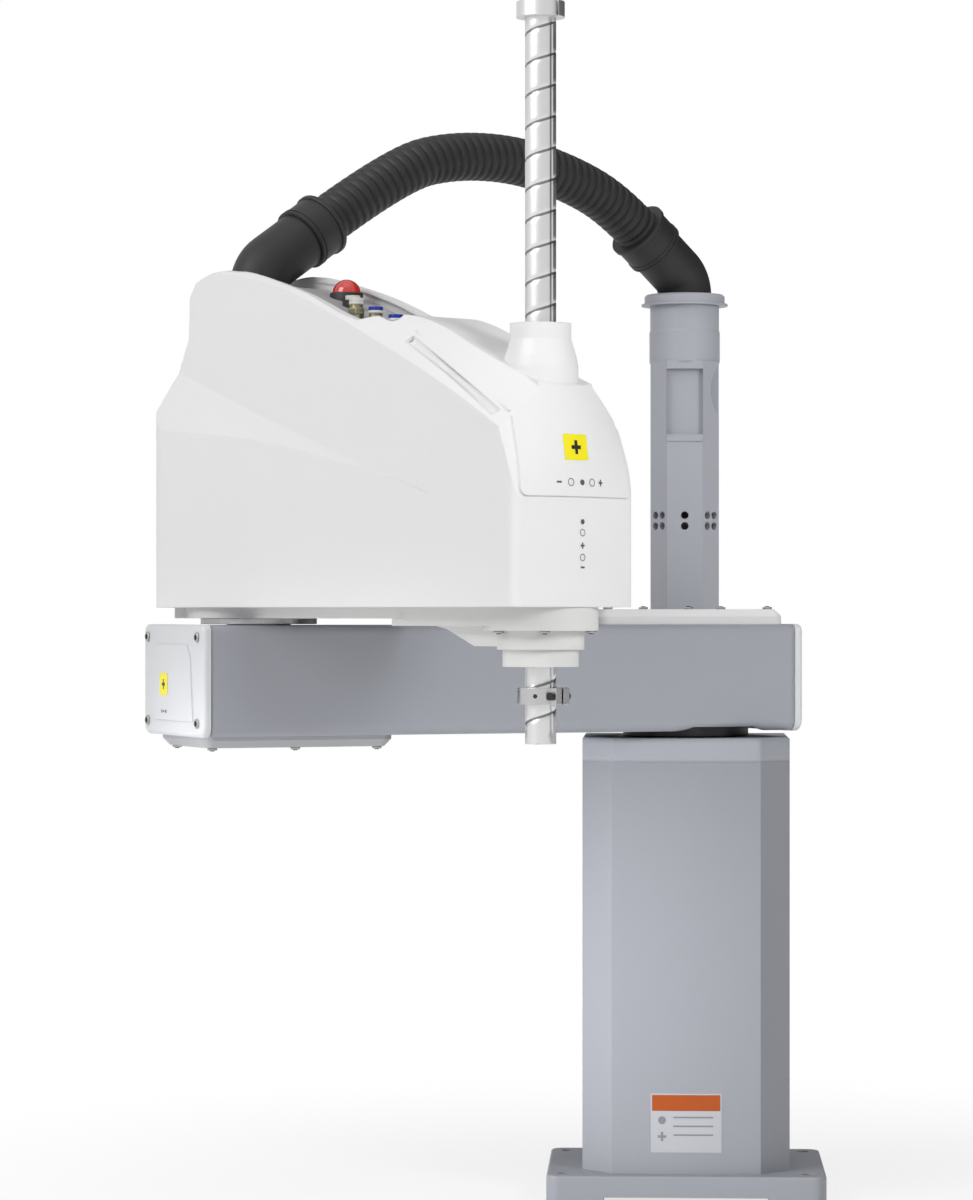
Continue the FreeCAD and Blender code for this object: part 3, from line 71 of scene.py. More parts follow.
PILLAR = joint_place["pillar_elbow_turn"]
INNER_ANGLE = math.atan2(J2.y, J2.x)
OUTER_ANGLE = math.atan2(SHAFT.y - J2.y, SHAFT.x - J2.x)
INNER_ARM = Matrix.Rotation(INNER_ANGLE, 4, "Z")
OUTER_ARM = Matrix.Translation((J2.x, J2.y, 0)) @ Matrix.Rotation(OUTER_ANGLE, 4, "Z")
SHAFT_AXIS = Matrix.Translation((SHAFT.x, SHAFT.y, 0)) @ Matrix.Rotation(OUTER_ANGLE, 4, "Z")
HOSE_HEADING = math.atan2(PILLAR.y - J2.y, PILLAR.x - J2.x)
HOSE_PLANE = Matrix.Translation((J2.x, J2.y, 0)) @ Matrix.Rotation(HOSE_HEADING, 4, "Z")
BASE = Matrix.Identity(4)

# Camera of the photograph
LENS_MM = 120.0
SENSOR_MM = 36.0
CAMERA_PLACE = (-0.0186, -2.8835, 0.416)
CAMERA_TURN = math.radians(2.48)
CAMERA_SHIFT_Y = 0.01
CAMERA_FAR = 60

# Hose: distances from the second axis towards the pillar, and heights
HOSE_ROUTE = ((0.0543, 0.6866), (0.1209, 0.7300), (0.1717, 0.7430), (0.2289, 0.7440),
              (0.2807, 0.7330), (0.3201, 0.7175), (0.3440, 0.6999))
HOSE_OUTER_R = 0.01725
HOSE_SIDES = 40
HOSE_RIDGES = 44
HOSE_ROWS_PER_RIDGE = 8

# Grooves between the hose's ridges: depth, half width as a share of a ridge, and roundness
HOSE_GROOVE_DEPTH = 0.0016
HOSE_GROOVE_SHARE = 0.26
HOSE_GROOVE_POWER = 1.4

# Hose collar: outlines of (height above its wall, place along it from its end), and where
# the ribs are
COLLAR_LIP = ((0.0009, 0.0005), (0.0013, 0), (0.0013, -0.0026), (0.0008, -0.0032),
              (-0.0002, -0.0033))
COLLAR_RIB = ((-0.0002, 0.0008), (0.0006, 0.0006), (0.0006, -0.0006), (-0.0002, -0.0008))
COLLAR_RIB_PLACES = (0.0185, 0.0215)

# Groove beside the housing's front: both ends as distance along the arm, inwards, and height
HOUSING_HALF = 0.0544
GROOVE_ENDS = ((0.1969, 0.0126, 0.5929), (0.2849, 0.0049, 0.5421))
GROOVE_R = 0.00314
GROOVE_OUTWARD = (0.333, 0.667, 0.667)
GROOVE_HALF_ARC = math.radians(72)

# How far stickers, and the prints on them, lie above a surface
STICKER_LIFT = 0.0002
PRINT_LIFT = 0.0003
RAY_START = 0.03

# Sticker and printed marks on the housing's front: place across the arm, and height
FRONT_REACH = 0.307
FRONT_STICKER = (-0.0046, 0.5202)
FRONT_STICKER_SIZE = (0.020, 0.0165)
FRONT_STICKER_PLUS = 0.008
ROW_DASH = (0.0040, 0.0012)
ROW_RING = (0.0026, 0.0020)
ROW_DOT_R = 0.0019
ROW_PLUS = 0.0038
COLUMN_DOT_R = 0.0017
COLUMN_RING = (0.0024, 0.0018)
COLUMN_PLUS = 0.0036
COLUMN_DASH = (0.0036, 0.0012)
MARK_ROW_HEIGHT = 0.498
MARK_ROW_PLACES = (-0.0207, -0.011, -0.0013, 0.0077, 0.0159)
MARK_COLUMN_ACROSS = -0.0004
MARK_COLUMN_HEIGHTS = (0.4731, 0.4662, 0.458, 0.4505, 0.4442)

# Label low on the column's front: size, height of its middle, and its marks from there
LABEL_WIDTH = 0.050
LABEL_HEIGHT = 0.0415
LABEL_MIDDLE = 0.056
LABEL_FACE_Y = -0.06
LABEL_HEADER_HEIGHT = 0.27 * LABEL_HEIGHT
LABEL_HEADER_EDGE = 0.001
LABEL_MARKS_ACROSS = -0.017
LABEL_LINES_ACROSS = 0.005
LABEL_LINE_HEIGHTS = (0.004, -0.0022, -0.0084)
LABEL_LINE_SIZE = (0.028, 0.0011)
LABEL_DOT = (0.002, 0.0028)
LABEL_PLUS = (-0.0095, 0.006)

# Sticker and marks on the arm's end cap: place across the arm, and height
CAP_STICKER = (-0.016, 0.3665)
CAP_STICKER_SIZE = (0.017, 0.015)
CAP_STICKER_PLUS = 0.0065
CAP_MARK_HEIGHT = 0.348
CAP_DOTS = (-0.020, -0.011)
CAP_DOT_R = 0.0013
CAP_DASH_ACROSS = -0.0155
CAP_DASH_SIZE = (0.0032, 0.0011)

# Shaft thread and splines
SHAFT_R = 0.010
SHAFT_BORE_R = 0.007
THREAD_PITCH = 0.020
THREAD_HALF_WIDTH = 0.0009
THREAD_DEPTH = 0.0003
SPLINES = 3
SPLINE_HALF_ANGLE = math.radians(8)
SPLINE_DEPTH = 0.0004
PLAIN_END = 0.004

# Rows of the shaft's mesh: shares of a groove's half width, and steps between two grooves
SPLINE_COLUMNS = (-1, -0.66, 0, 0.66, 1)
PLAIN_COLUMNS = 7
THREAD_ROWS = (-1, -0.5, 0, 0.5, 1)
PLAIN_ROWS = 6

# Socket-head screws, as shares of the head's radius, and how high a head is drawn
HEAD_EDGE = 0.12
HEAD_RIM = 0.62
HEAD_HOLE = 0.56
HEAD_HEXAGON = 0.52
HEAD_SOCKET_DEPTH = 0.5
HEAD_HEIGHT = 0.0008

# Set screw in the side of the clamp collar
SET_SCREW_R = 0.0014
SET_SCREW_WAY = (-0.20, -0.98, 0)

# Air fittings: outlines of (radius, height from the top), and the hexagon
FITTING_THREAD = ((0.0043, -0.0018), (0.0047, -0.0021), (0.0043, -0.0025), (0.0047, -0.0029),
                  (0.0043, -0.0033), (0.0047, -0.0037), (0.0043, -0.0041))
FITTING_STEM = ((0.0052, -0.0086), (0.0052, -0.0130))
FITTING_RING = ((0.0036, 0.0001), (0.0047, 0.0001), (0.0049, -0.0002), (0.0049, -0.0014),
                (0.0045, -0.0019), (0.0040, -0.0019))
FITTING_HEXAGON_R = 0.0059
FITTING_HEXAGON_HEIGHT = 0.0046
FITTING_HEXAGON_MIDDLE = -0.0064
FITTING_HEXAGON_EDGE = 0.0003
FITTING_TOP_SLACK = 0.0004

# Lamp's foot: outline of (height above the lamp's side, place along it from its flat end)
LAMP_FOOT = ((-0.0008, 0.0006), (0.0003, 0.0005), (0.0006, 0), (0.0006, -0.0062),
             (-0.0002, -0.0066))

# Ends of a round solid that count as flat, and as facing up
FLATNESS = 1e-5
FACING_UP = 0.99

# Floor: size, its share of plain white near the object, and where that starts and ends rising
FLOOR_R = 9.0
FLOOR_WHITE_NEAR = 0.75
FLOOR_FADE = (0.15, 0.75)


def camera():
    """Camera that takes the photograph's view."""
    data = bpy.data.cameras.new("photo_camera")
    data.lens = LENS_MM
    data.sensor_width = SENSOR_MM
    data.sensor_fit = "AUTO"
    data.shift_y = CAMERA_SHIFT_Y
    data.clip_end = CAMERA_FAR
    item = bpy.data.objects.new("photo_camera", data)
    item.location = CAMERA_PLACE
    item.rotation_euler = (math.radians(90), 0, CAMERA_TURN)
    bpy.context.scene.collection.objects.link(item)
    bpy.context.scene.camera = item


camera()


# Colours and node helpers

def shade(red, green, blue):
    """Linear colour from a colour on the 0 to 255 scale."""
    parts = []
    for value in (red, green, blue):
        level = value / 255
        parts.append(level / 12.92 if level <= 0.04045 else ((level + 0.055) / 1.055) ** 2.4)
    return (*parts, 1.0)


def skin_group():
    """Mottled colour, roughness and fine grain for a moulded, painted or machined skin."""
    group = bpy.data.node_groups.new("skin", "ShaderNodeTree")
    inputs = (("Color", "NodeSocketColor", (0.8, 0.8, 0.8, 1)),
              ("Tint", "NodeSocketColor", (0.7, 0.7, 0.7, 1)),
              ("Vector", "NodeSocketVector", (0, 0, 0)),
              ("Patch Scale", "NodeSocketFloat", 20.0),
              ("Patch Amount", "NodeSocketFloat", 0.3),
              ("Grain Scale", "NodeSocketFloat", 800.0),
              ("Grain Height", "NodeSocketFloat", 0.1),
              ("Edge Radius", "NodeSocketFloat", 0.0006),
              ("Rough Low", "NodeSocketFloat", 0.35),
              ("Rough High", "NodeSocketFloat", 0.5))
    for name, kind, value in inputs:
        socket = group.interface.new_socket(name, in_out="INPUT", socket_type=kind)
        socket.default_value = value
    for name, kind in (("Color", "NodeSocketColor"), ("Roughness", "NodeSocketFloat"),
                       ("Normal", "NodeSocketVector")):
        group.interface.new_socket(name, in_out="OUTPUT", socket_type=kind)
    nodes, links = group.nodes, group.links
    given = nodes.new("NodeGroupInput")
    result = nodes.new("NodeGroupOutput")
    patches = nodes.new("ShaderNodeTexNoise")
    patches.inputs["Detail"].default_value = 5.0
    patches.inputs["Roughness"].default_value = 0.55
    links.new(given.outputs["Vector"], patches.inputs["Vector"])
    links.new(given.outputs["Patch Scale"], patches.inputs["Scale"])
    share = nodes.new("ShaderNodeMath")
    share.operation = "MULTIPLY"
    links.new(patches.outputs["Fac"], share.inputs[0])
    links.new(given.outputs["Patch Amount"], share.inputs[1])
    colours = nodes.new("ShaderNodeMix")
    colours.data_type = "RGBA"
    links.new(share.outputs[0], colours.inputs["Factor"])
    links.new(given.outputs["Color"], colours.inputs["A"])
    links.new(given.outputs["Tint"], colours.inputs["B"])
    links.new(colours.outputs["Result"], result.inputs["Color"])
    rough = nodes.new("ShaderNodeMapRange")
    rough.inputs["From Min"].default_value = 0.3
    rough.inputs["From Max"].default_value = 0.7
    links.new(patches.outputs["Fac"], rough.inputs["Value"])
    links.new(given.outputs["Rough Low"], rough.inputs["To Min"])
    links.new(given.outputs["Rough High"], rough.inputs["To Max"])
    links.new(rough.outputs["Result"], result.inputs["Roughness"])
    grain = nodes.new("ShaderNodeTexNoise")
    grain.inputs["Detail"].default_value = 2.0
    links.new(given.outputs["Vector"], grain.inputs["Vector"])
    links.new(given.outputs["Grain Scale"], grain.inputs["Scale"])
    edges = nodes.new("ShaderNodeBevel")
    edges.samples = 6
    links.new(given.outputs["Edge Radius"], edges.inputs["Radius"])
    bump = nodes.new("ShaderNodeBump")
    bump.inputs["Distance"].default_value = 0.0003
    links.new(edges.outputs["Normal"], bump.inputs["Normal"])
    links.new(grain.outputs["Fac"], bump.inputs["Height"])
    links.new(given.outputs["Grain Height"], bump.inputs["Strength"])
    links.new(bump.outputs["Normal"], result.inputs["Normal"])
    return group


SKIN = skin_group()


def material(name, colour, tint, rough=(0.35, 0.5), metallic=0.0, patch=(20.0, 0.3),
             grain=(900.0, 0.1), turn=0.0, stretch=(1, 1, 1), coat=0.0, edge=0.0006):
    """Procedural finish. turn and stretch lay the pattern along a direction of the piece."""
    item = bpy.data.materials.new(name)
    item.use_nodes = True
    nodes, links = item.node_tree.nodes, item.node_tree.links
    surface = nodes["Principled BSDF"]
    surface.inputs["Metallic"].default_value = metallic
    surface.inputs["Coat Weight"].default_value = coat
    surface.inputs["Coat Roughness"].default_value = 0.12
    place = nodes.new("ShaderNodeTexCoord")
    mapping = nodes.new("ShaderNodeMapping")
    mapping.vector_type = "TEXTURE"
    mapping.inputs["Rotation"].default_value = (0, 0, turn)
    mapping.inputs["Scale"].default_value = stretch
    links.new(place.outputs["Object"], mapping.inputs["Vector"])
    skin = nodes.new("ShaderNodeGroup")
    skin.node_tree = SKIN
    links.new(mapping.outputs["Vector"], skin.inputs["Vector"])
    skin.inputs["Color"].default_value = colour
    skin.inputs["Tint"].default_value = tint
    skin.inputs["Patch Scale"].default_value = patch[0]
    skin.inputs["Patch Amount"].default_value = patch[1]
    skin.inputs["Grain Scale"].default_value = grain[0]
    skin.inputs["Grain Height"].default_value = grain[1]
    skin.inputs["Edge Radius"].default_value = edge
    skin.inputs["Rough Low"].default_value = rough[0]
    skin.inputs["Rough High"].default_value = rough[1]
    links.new(skin.outputs["Color"], surface.inputs["Base Color"])
    links.new(skin.outputs["Roughness"], surface.inputs["Roughness"])
    links.new(skin.outputs["Normal"], surface.inputs["Normal"])
    return item


housing_white = material("housing_white", shade(238, 238, 238), shade(226, 226, 227),
                         rough=(0.32, 0.42), patch=(9.0, 0.35), grain=(1500.0, 0.05),
                         edge=0.0016)
cap_white = material("cap_white", shade(217, 218, 221), shade(206, 207, 210),
                     rough=(0.38, 0.5), patch=(12.0, 0.3), grain=(1600.0, 0.08))
casting_white = material("casting_white", shade(224, 224, 223), shade(208, 208, 207),
                         rough=(0.4, 0.55), patch=(25.0, 0.45), grain=(700.0, 0.22))
# The pillar's grey paint made darker: painted shade on the column, which stands under the arms
column_shaded_grey = material("column_shaded_grey", shade(144, 146, 153), shade(134, 136, 143),
                       rough=(0.38, 0.5), patch=(10.0, 0.4), grain=(1100.0, 0.1),
                       stretch=(1, 1, 6))
arm_grey = material("arm_grey", shade(160, 162, 170), shade(148, 150, 158),
                    rough=(0.34, 0.46), patch=(14.0, 0.4), grain=(900.0, 0.1),
                    turn=INNER_ANGLE, stretch=(10, 1, 1), edge=0.006)
pillar_grey = material("pillar_grey", shade(178, 180, 188), shade(166, 168, 176),
                       rough=(0.36, 0.48), patch=(14.0, 0.4), grain=(900.0, 0.1),
                       stretch=(1, 1, 8))
deck_grey = material("deck_grey", shade(176, 176, 178), shade(160, 160, 163),
                     rough=(0.4, 0.55), patch=(18.0, 0.4), grain=(1200.0, 0.12))
under_grey = material("under_grey", shade(176, 177, 181), shade(160, 161, 166),
                      rough=(0.4, 0.55), patch=(16.0, 0.4), grain=(900.0, 0.12))
hose_black = material("hose_black", shade(34, 34, 35), shade(26, 26, 27),
                      rough=(0.5, 0.62), patch=(40.0, 0.5), grain=(1500.0, 0.12))
fitting_black = material("fitting_black", shade(36, 36, 37), shade(28, 28, 29),
                         rough=(0.48, 0.6), patch=(30.0, 0.5), grain=(1400.0, 0.1))
panel_black = material("panel_black", shade(40, 40, 42), shade(30, 30, 32),
                       rough=(0.45, 0.6), patch=(30.0, 0.4), grain=(1300.0, 0.2))
shaft_steel = material("shaft_steel", shade(230, 230, 231), shade(214, 214, 216),
                       rough=(0.34, 0.42), metallic=1.0, patch=(60.0, 0.4),
                       grain=(1500.0, 0.04))
machined_steel = material("machined_steel", shade(205, 205, 206), shade(180, 180, 182),
                          rough=(0.24, 0.38), metallic=1.0, patch=(60.0, 0.5),
                          grain=(1600.0, 0.1))
# Darker steel for the thread groove: painted shade in the groove
groove_shade_steel = material("groove_shade_steel", shade(140, 140, 142), shade(120, 120, 122),
                        rough=(0.35, 0.45), metallic=1.0, patch=(60.0, 0.4),
                        grain=(1500.0, 0.05))
dark_steel = material("dark_steel", shade(70, 70, 72), shade(52, 52, 54),
                      rough=(0.3, 0.45), metallic=1.0, patch=(60.0, 0.5),
                      grain=(1500.0, 0.1))
screw_zinc = material("screw_zinc", shade(190, 190, 186), shade(160, 160, 154),
                      rough=(0.28, 0.42), metallic=1.0, patch=(90.0, 0.6),
                      grain=(1600.0, 0.1))
alloy = material("alloy", shade(200, 200, 203), shade(182, 182, 186), rough=(0.35, 0.5),
                 metallic=0.9, patch=(30.0, 0.4), grain=(1200.0, 0.15))
motor_black = material("motor_black", shade(48, 48, 50), shade(38, 38, 40),
                       rough=(0.4, 0.55), patch=(30.0, 0.4), grain=(1000.0, 0.2))
belt_black = material("belt_black", shade(34, 34, 34), shade(26, 26, 26), rough=(0.6, 0.75),
                      patch=(80.0, 0.5), grain=(1500.0, 0.2))
brass = material("brass", shade(178, 172, 142), shade(140, 133, 102), rough=(0.3, 0.42),
                 metallic=1.0, patch=(80.0, 0.5), grain=(1600.0, 0.06))
lamp_red = material("lamp_red", shade(222, 44, 34), shade(160, 16, 12), rough=(0.08, 0.16),
                    patch=(60.0, 0.5), grain=(900.0, 0.02), coat=1.0)
collar_blue = material("collar_blue", shade(28, 52, 190), shade(18, 34, 140),
                       rough=(0.22, 0.35), patch=(120.0, 0.5), grain=(1500.0, 0.06))
collar_white = material("collar_white", shade(236, 236, 228), shade(214, 214, 204),
                        rough=(0.25, 0.4), patch=(120.0, 0.5), grain=(1500.0, 0.06))
sticker_yellow = material("sticker_yellow", shade(250, 238, 30), shade(238, 222, 20),
                          rough=(0.35, 0.45), patch=(40.0, 0.4), grain=(1500.0, 0.04))
sticker_orange = material("sticker_orange", shade(158, 70, 8), shade(148, 64, 7),
                          rough=(0.35, 0.45), patch=(40.0, 0.4), grain=(1500.0, 0.04))
sticker_pale = material("sticker_pale", shade(170, 171, 176), shade(162, 163, 168),
                        rough=(0.35, 0.45), patch=(40.0, 0.4), grain=(1500.0, 0.04))
# Black for print on stickers, and for painted shade inside screw sockets
print_and_socket_shade_black = material("print_and_socket_shade_black", shade(34, 34, 34), shade(26, 26, 26), rough=(0.4, 0.5),
                       patch=(60.0, 0.4), grain=(1500.0, 0.04))
print_dark = material("print_dark", shade(92, 92, 94), shade(80, 80, 82), rough=(0.4, 0.5),
                      patch=(60.0, 0.4), grain=(1500.0, 0.04))
print_grey = material("print_grey", shade(124, 124, 126), shade(112, 112, 114),
                      rough=(0.4, 0.5), patch=(60.0, 0.4), grain=(1500.0, 0.04))

NODE_FINISHES = {
    column_shaded_grey: ("base_casting", "duct_box"),
    arm_grey: ("arm_tube", "column_flange"),
    pillar_grey: ("duct_pillar", "pillar_cap"),
    under_grey: ("bottom_cover",),
    cap_white: ("outer_end_cap", "inner_end_cap"),
    housing_white: ("housing_cover", "top_cover"),
    casting_white: ("arm_casting", "seal_ring"),
    deck_grey: ("deck_panel",),
    panel_black: ("rear_panel", "hose_seat", "button_guard"),
    fitting_black: ("arm_elbow", "arm_hose_collar", "pillar_elbow", "pillar_hose_collar"),
    hose_black: ("hose",),
    machined_steel: ("j1_reducer_case", "j2_reducer_case", "j2_output_flange",
                     "lower_bearing", "upper_bearing", "spline_nut", "ball_nut",
                     "clamp_collar"),
    shaft_steel: ("shaft", "top_collar"),
    dark_steel: ("rear_connectors", "clamp_screws", "j1_output_flange"),
    screw_zinc: ("column_screws", "cover_screws", "end_cap_screws", "casting_screws"),
    alloy: ("motor_bracket", "lift_motor_pulley", "turn_motor_pulley", "spline_nut_pulley",
            "ball_nut_pulley"),
    motor_black: ("j1_motor", "j2_motor", "lift_motor", "turn_motor"),
    belt_black: ("lift_belt", "turn_belt"),
    brass: ("rear_air_fittings", "earth_screw", "fitting_bodies"),
    lamp_red: ("status_lamp",),
    collar_blue: ("blue_collars",),
    collar_white: ("white_collars", "brake_button"),
}


def finish_nodes():
    """Gives each CAD node its finish in place of the plain one."""
    for finish, names in NODE_FINISHES.items():
        for name in names:
            slots = frame["nodes"][name].data.materials
            slots.clear()
            slots.append(finish)


finish_nodes()


# Mesh helpers

def add_piece(name, mesh_maker, finish, body, place=BASE, replaces=(), smooth=35.0):
    """Makes a finished piece of a bmesh: placed, with its normals out, riding on its body."""
    bmesh.ops.remove_doubles(mesh_maker, verts=mesh_maker.verts, dist=1e-6)
    bmesh.ops.recalc_face_normals(mesh_maker, faces=mesh_maker.faces)
    mesh = bpy.data.meshes.new(name)
    mesh_maker.transform(place)
    mesh_maker.to_mesh(mesh)
    mesh_maker.free()
    for face in mesh.polygons:
        face.use_smooth = True
    mesh.set_sharp_from_angle(angle=math.radians(smooth))
    for coat in finish if isinstance(finish, tuple) else (finish,):
        mesh.materials.append(coat)
    piece = bpy.data.objects.new(name, mesh)
    bpy.context.scene.collection.objects.link(piece)
    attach(piece, body)
    if replaces:
        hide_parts(*replaces)
    return piece


def lathe(mesh_maker, profile, steps):
    """Turns a profile of (radius, height) points about the upright axis."""
    verts = [mesh_maker.verts.new((radius, 0, height)) for radius, height in profile]
    edges = [mesh_maker.edges.new(pair) for pair in zip(verts, verts[1:])]
    bmesh.ops.spin(mesh_maker, geom=verts + edges, axis=(0, 0, 1), cent=(0, 0, 0),
                   angle=math.tau, steps=steps, use_merge=True, use_duplicate=False)
    bmesh.ops.remove_doubles(mesh_maker, verts=mesh_maker.verts, dist=1e-7)


def stamp(mesh_maker, part, places):
    """Adds a copy of a small part at each place, and frees the part."""
    for place in places:
        copy = part.copy()
        copy.transform(place)
        sheet = bpy.data.meshes.new("stamp")
        copy.to_mesh(sheet)
        copy.free()
        mesh_maker.from_mesh(sheet)
        bpy.data.meshes.remove(sheet)
    part.free()


def facing(place, way):
    """Frame at a place whose height runs along a direction."""
    return Matrix.Translation(place) @ way.to_track_quat("Z", "Y").to_matrix().to_4x4()


def node_corners(name):
    """Corners of the box round a CAD node."""
    return [Vector(corner) for corner in frame["nodes"][name].bound_box]


def flat_ends(name):
    """Centre, direction and radius of each flat end of the round solids in a CAD node."""
    solids = bmesh.new()
    solids.from_mesh(frame["nodes"][name].data)
    left = set(solids.faces)
    found = []
    while left:
        group = [left.pop()]
        for face in group:
            near = {other for edge in face.edges for other in edge.link_faces} & left
            left -= near
            group.extend(near)
        way = group[0].normal.copy()
        corners = [vert.co.copy() for vert in {vert for face in group for vert in face.verts}]
        centre = sum(corners, Vector()) / len(corners)
        if all(abs((corner - centre).dot(way)) < FLATNESS for corner in corners):
            found.append((centre, way, max((corner - centre).length for corner in corners)))
    solids.free()
    return found


# Screws: socket heads in place of the plain cylinders

def socket_head(radius):
    """Round head with a hexagon socket, its top at height 0."""
    head = bmesh.new()
    edge = HEAD_EDGE * radius
    hole = HEAD_HOLE * radius
    lathe(head, [(radius, -HEAD_HEIGHT), (radius, -edge), (radius - edge, 0),
                 (HEAD_RIM * radius, 0), (hole, -edge)], steps=24)
    rim = [item for item in head.edges if item.is_boundary
           and all((vert.co.xy.length - hole) ** 2 < 1e-12 for vert in item.verts)]
    hexagon = bmesh.ops.create_circle(head, cap_ends=False, segments=6,
                                      radius=HEAD_HEXAGON * radius,
                                      matrix=Matrix.Translation((0, 0, -1.2 * edge)))
    sides = list({item for vert in hexagon["verts"] for item in vert.link_edges})
    bmesh.ops.bridge_loops(head, edges=rim + sides)
    walls = bmesh.ops.extrude_edge_only(head, edges=sides)["geom"]
    low = [item for item in walls if isinstance(item, bmesh.types.BMVert)]
    bmesh.ops.translate(head, verts=low, vec=(0, 0, -HEAD_SOCKET_DEPTH * radius))
    floor_edges = [item for item in walls if isinstance(item, bmesh.types.BMEdge)
                   and all(vert in low for vert in item.verts)]
    bmesh.ops.contextual_create(head, geom=floor_edges)
    # Faces inside the socket take the second finish, black: painted shade in the socket's
    # hollow
    for face in head.faces:
        face.material_index = 1 if face.calc_center_median().xy.length < 0.5 * radius else 0
    return head


def screw_heads(node, body):
    """Socket heads on both ends of each plain screw of a CAD node."""
    heads = bmesh.new()
    ends = flat_ends(node)
    radius = max(end[2] for end in ends)
    stamp(heads, socket_head(radius), [facing(centre, way) for centre, way, _ in ends])
    # Zinc heads, with black painted shade inside each socket
    add_piece(node + "_heads", heads, (screw_zinc, print_and_socket_shade_black), body,
              replaces=(node,), smooth=30)


screw_heads("column_screws", "base")
screw_heads("cover_screws", "inner_arm")
screw_heads("end_cap_screws", "inner_arm")
screw_heads("casting_screws", "outer_arm")


# Shaft

def in_thread(angle, height):
    """1 in the middle of the thread's groove, 0 from its edges on."""
    turn = (height / THREAD_PITCH - angle / math.tau + 0.5) % 1.0 - 0.5
    return max(0.0, 1.0 - abs(turn * THREAD_PITCH) / THREAD_HALF_WIDTH)


def shaft_radius(angle, height, length):
    """Radius of the shaft: a thread groove winds round it and spline grooves run along it."""
    thread = in_thread(angle, height)
    spline = (angle % (math.tau / SPLINES) + SPLINE_HALF_ANGLE) % (math.tau / SPLINES)
    wall = max(0.0, 1.0 - abs(spline - SPLINE_HALF_ANGLE) / SPLINE_HALF_ANGLE)
    fade = min(1.0, max(0.0, min(height, length - height) / PLAIN_END - 1.0))
    depth = max(THREAD_DEPTH * min(1.0, 2 * thread), SPLINE_DEPTH * min(1.0, 3 * wall))
    return SHAFT_R - depth * fade


def shaft():
    """Hollow shaft: a strip wound along the thread, cut off level at both ends."""
    corners = node_corners("shaft")
    bottom = min(corner.z for corner in corners)
    top = max(corner.z for corner in corners)
    sector = math.tau / SPLINES
    angles = [share * SPLINE_HALF_ANGLE for share in SPLINE_COLUMNS]
    plain = sector - 2 * SPLINE_HALF_ANGLE
    angles += [SPLINE_HALF_ANGLE + plain * (i + 1) / (PLAIN_COLUMNS + 1)
               for i in range(PLAIN_COLUMNS)]
    per_turn = [angle + sector * i for i in range(SPLINES) for angle in angles]
    offsets = [share * THREAD_HALF_WIDTH for share in THREAD_ROWS]
    rest = THREAD_PITCH - 2 * THREAD_HALF_WIDTH
    offsets += [THREAD_HALF_WIDTH + rest * (i + 1) / PLAIN_ROWS for i in range(PLAIN_ROWS)]
    # The strip starts two turns below the shaft's foot, so that it covers both ends
    turns = math.ceil((top - bottom) / THREAD_PITCH) + 3
    columns = [angle + math.tau * i for i in range(turns) for angle in per_turn]
    strip = bmesh.new()
    bmesh.ops.create_grid(strip, x_segments=len(columns) - 1, y_segments=len(offsets) - 1,
                          size=0.5)
    for vert in strip.verts:
        angle = columns[round((vert.co.x + 0.5) * (len(columns) - 1))]
        offset = offsets[round((vert.co.y + 0.5) * (len(offsets) - 1))]
        height = bottom + (angle / math.tau - 2.0) * THREAD_PITCH + offset
        height = min(max(height, bottom), top)
        radius = shaft_radius(angle, height - bottom, top - bottom)
        vert.co = (radius * math.cos(angle), radius * math.sin(angle), height)
    bmesh.ops.remove_doubles(strip, verts=strip.verts, dist=2e-6)
    bmesh.ops.dissolve_degenerate(strip, edges=strip.edges, dist=1e-6)
    # Faces in the thread groove take the second finish, a darker steel: painted shade in the
    # groove
    for face in strip.faces:
        middle = face.calc_center_median()
        if in_thread(math.atan2(middle.y, middle.x), middle.z - bottom) > 0.2:
            if bottom + 2 * PLAIN_END < middle.z < top - 2 * PLAIN_END:
                face.material_index = 1
    lathe(strip, [(SHAFT_R, bottom), (SHAFT_BORE_R, bottom), (SHAFT_BORE_R, top),
                  (SHAFT_R, top)], steps=len(per_turn))
    add_piece("threaded_shaft", strip, (shaft_steel, groove_shade_steel), "shaft",
              place=SHAFT_AXIS, replaces=("shaft",), smooth=40)


shaft()


# Hose

def route_points(count):
    """Evenly spaced points along the hose's smooth line, and the line's length."""
    curve = bpy.data.curves.new("hose_route", "CURVE")
    curve.dimensions = "3D"
    curve.resolution_u = 64
    line = curve.splines.new("NURBS")
    line.points.add(len(HOSE_ROUTE) - 1)
    for point, (distance, height) in zip(line.points, HOSE_ROUTE):
        point.co = (*(HOSE_PLANE @ Vector((distance, 0, height))), 1)
    line.order_u = 3
    line.use_endpoint_u = True
    holder = bpy.data.objects.new("hose_route", curve)
    mesh = bpy.data.meshes.new_from_object(holder)
    dense = [vert.co.copy() for vert in mesh.vertices]
    bpy.data.objects.remove(holder)
    bpy.data.meshes.remove(mesh)
    bpy.data.curves.remove(curve)
    reach = [0.0]
    for before, after in zip(dense, dense[1:]):
        reach.append(reach[-1] + (after - before).length)
    points = []
    step = 0
    for index in range(count):
        target = reach[-1] * index / (count - 1)
        while step < len(dense) - 2 and reach[step + 1] < target:
            step += 1
        share = (target - reach[step]) / (reach[step + 1] - reach[step])
        points.append(dense[step].lerp(dense[step + 1], share))
    return points, reach[-1]


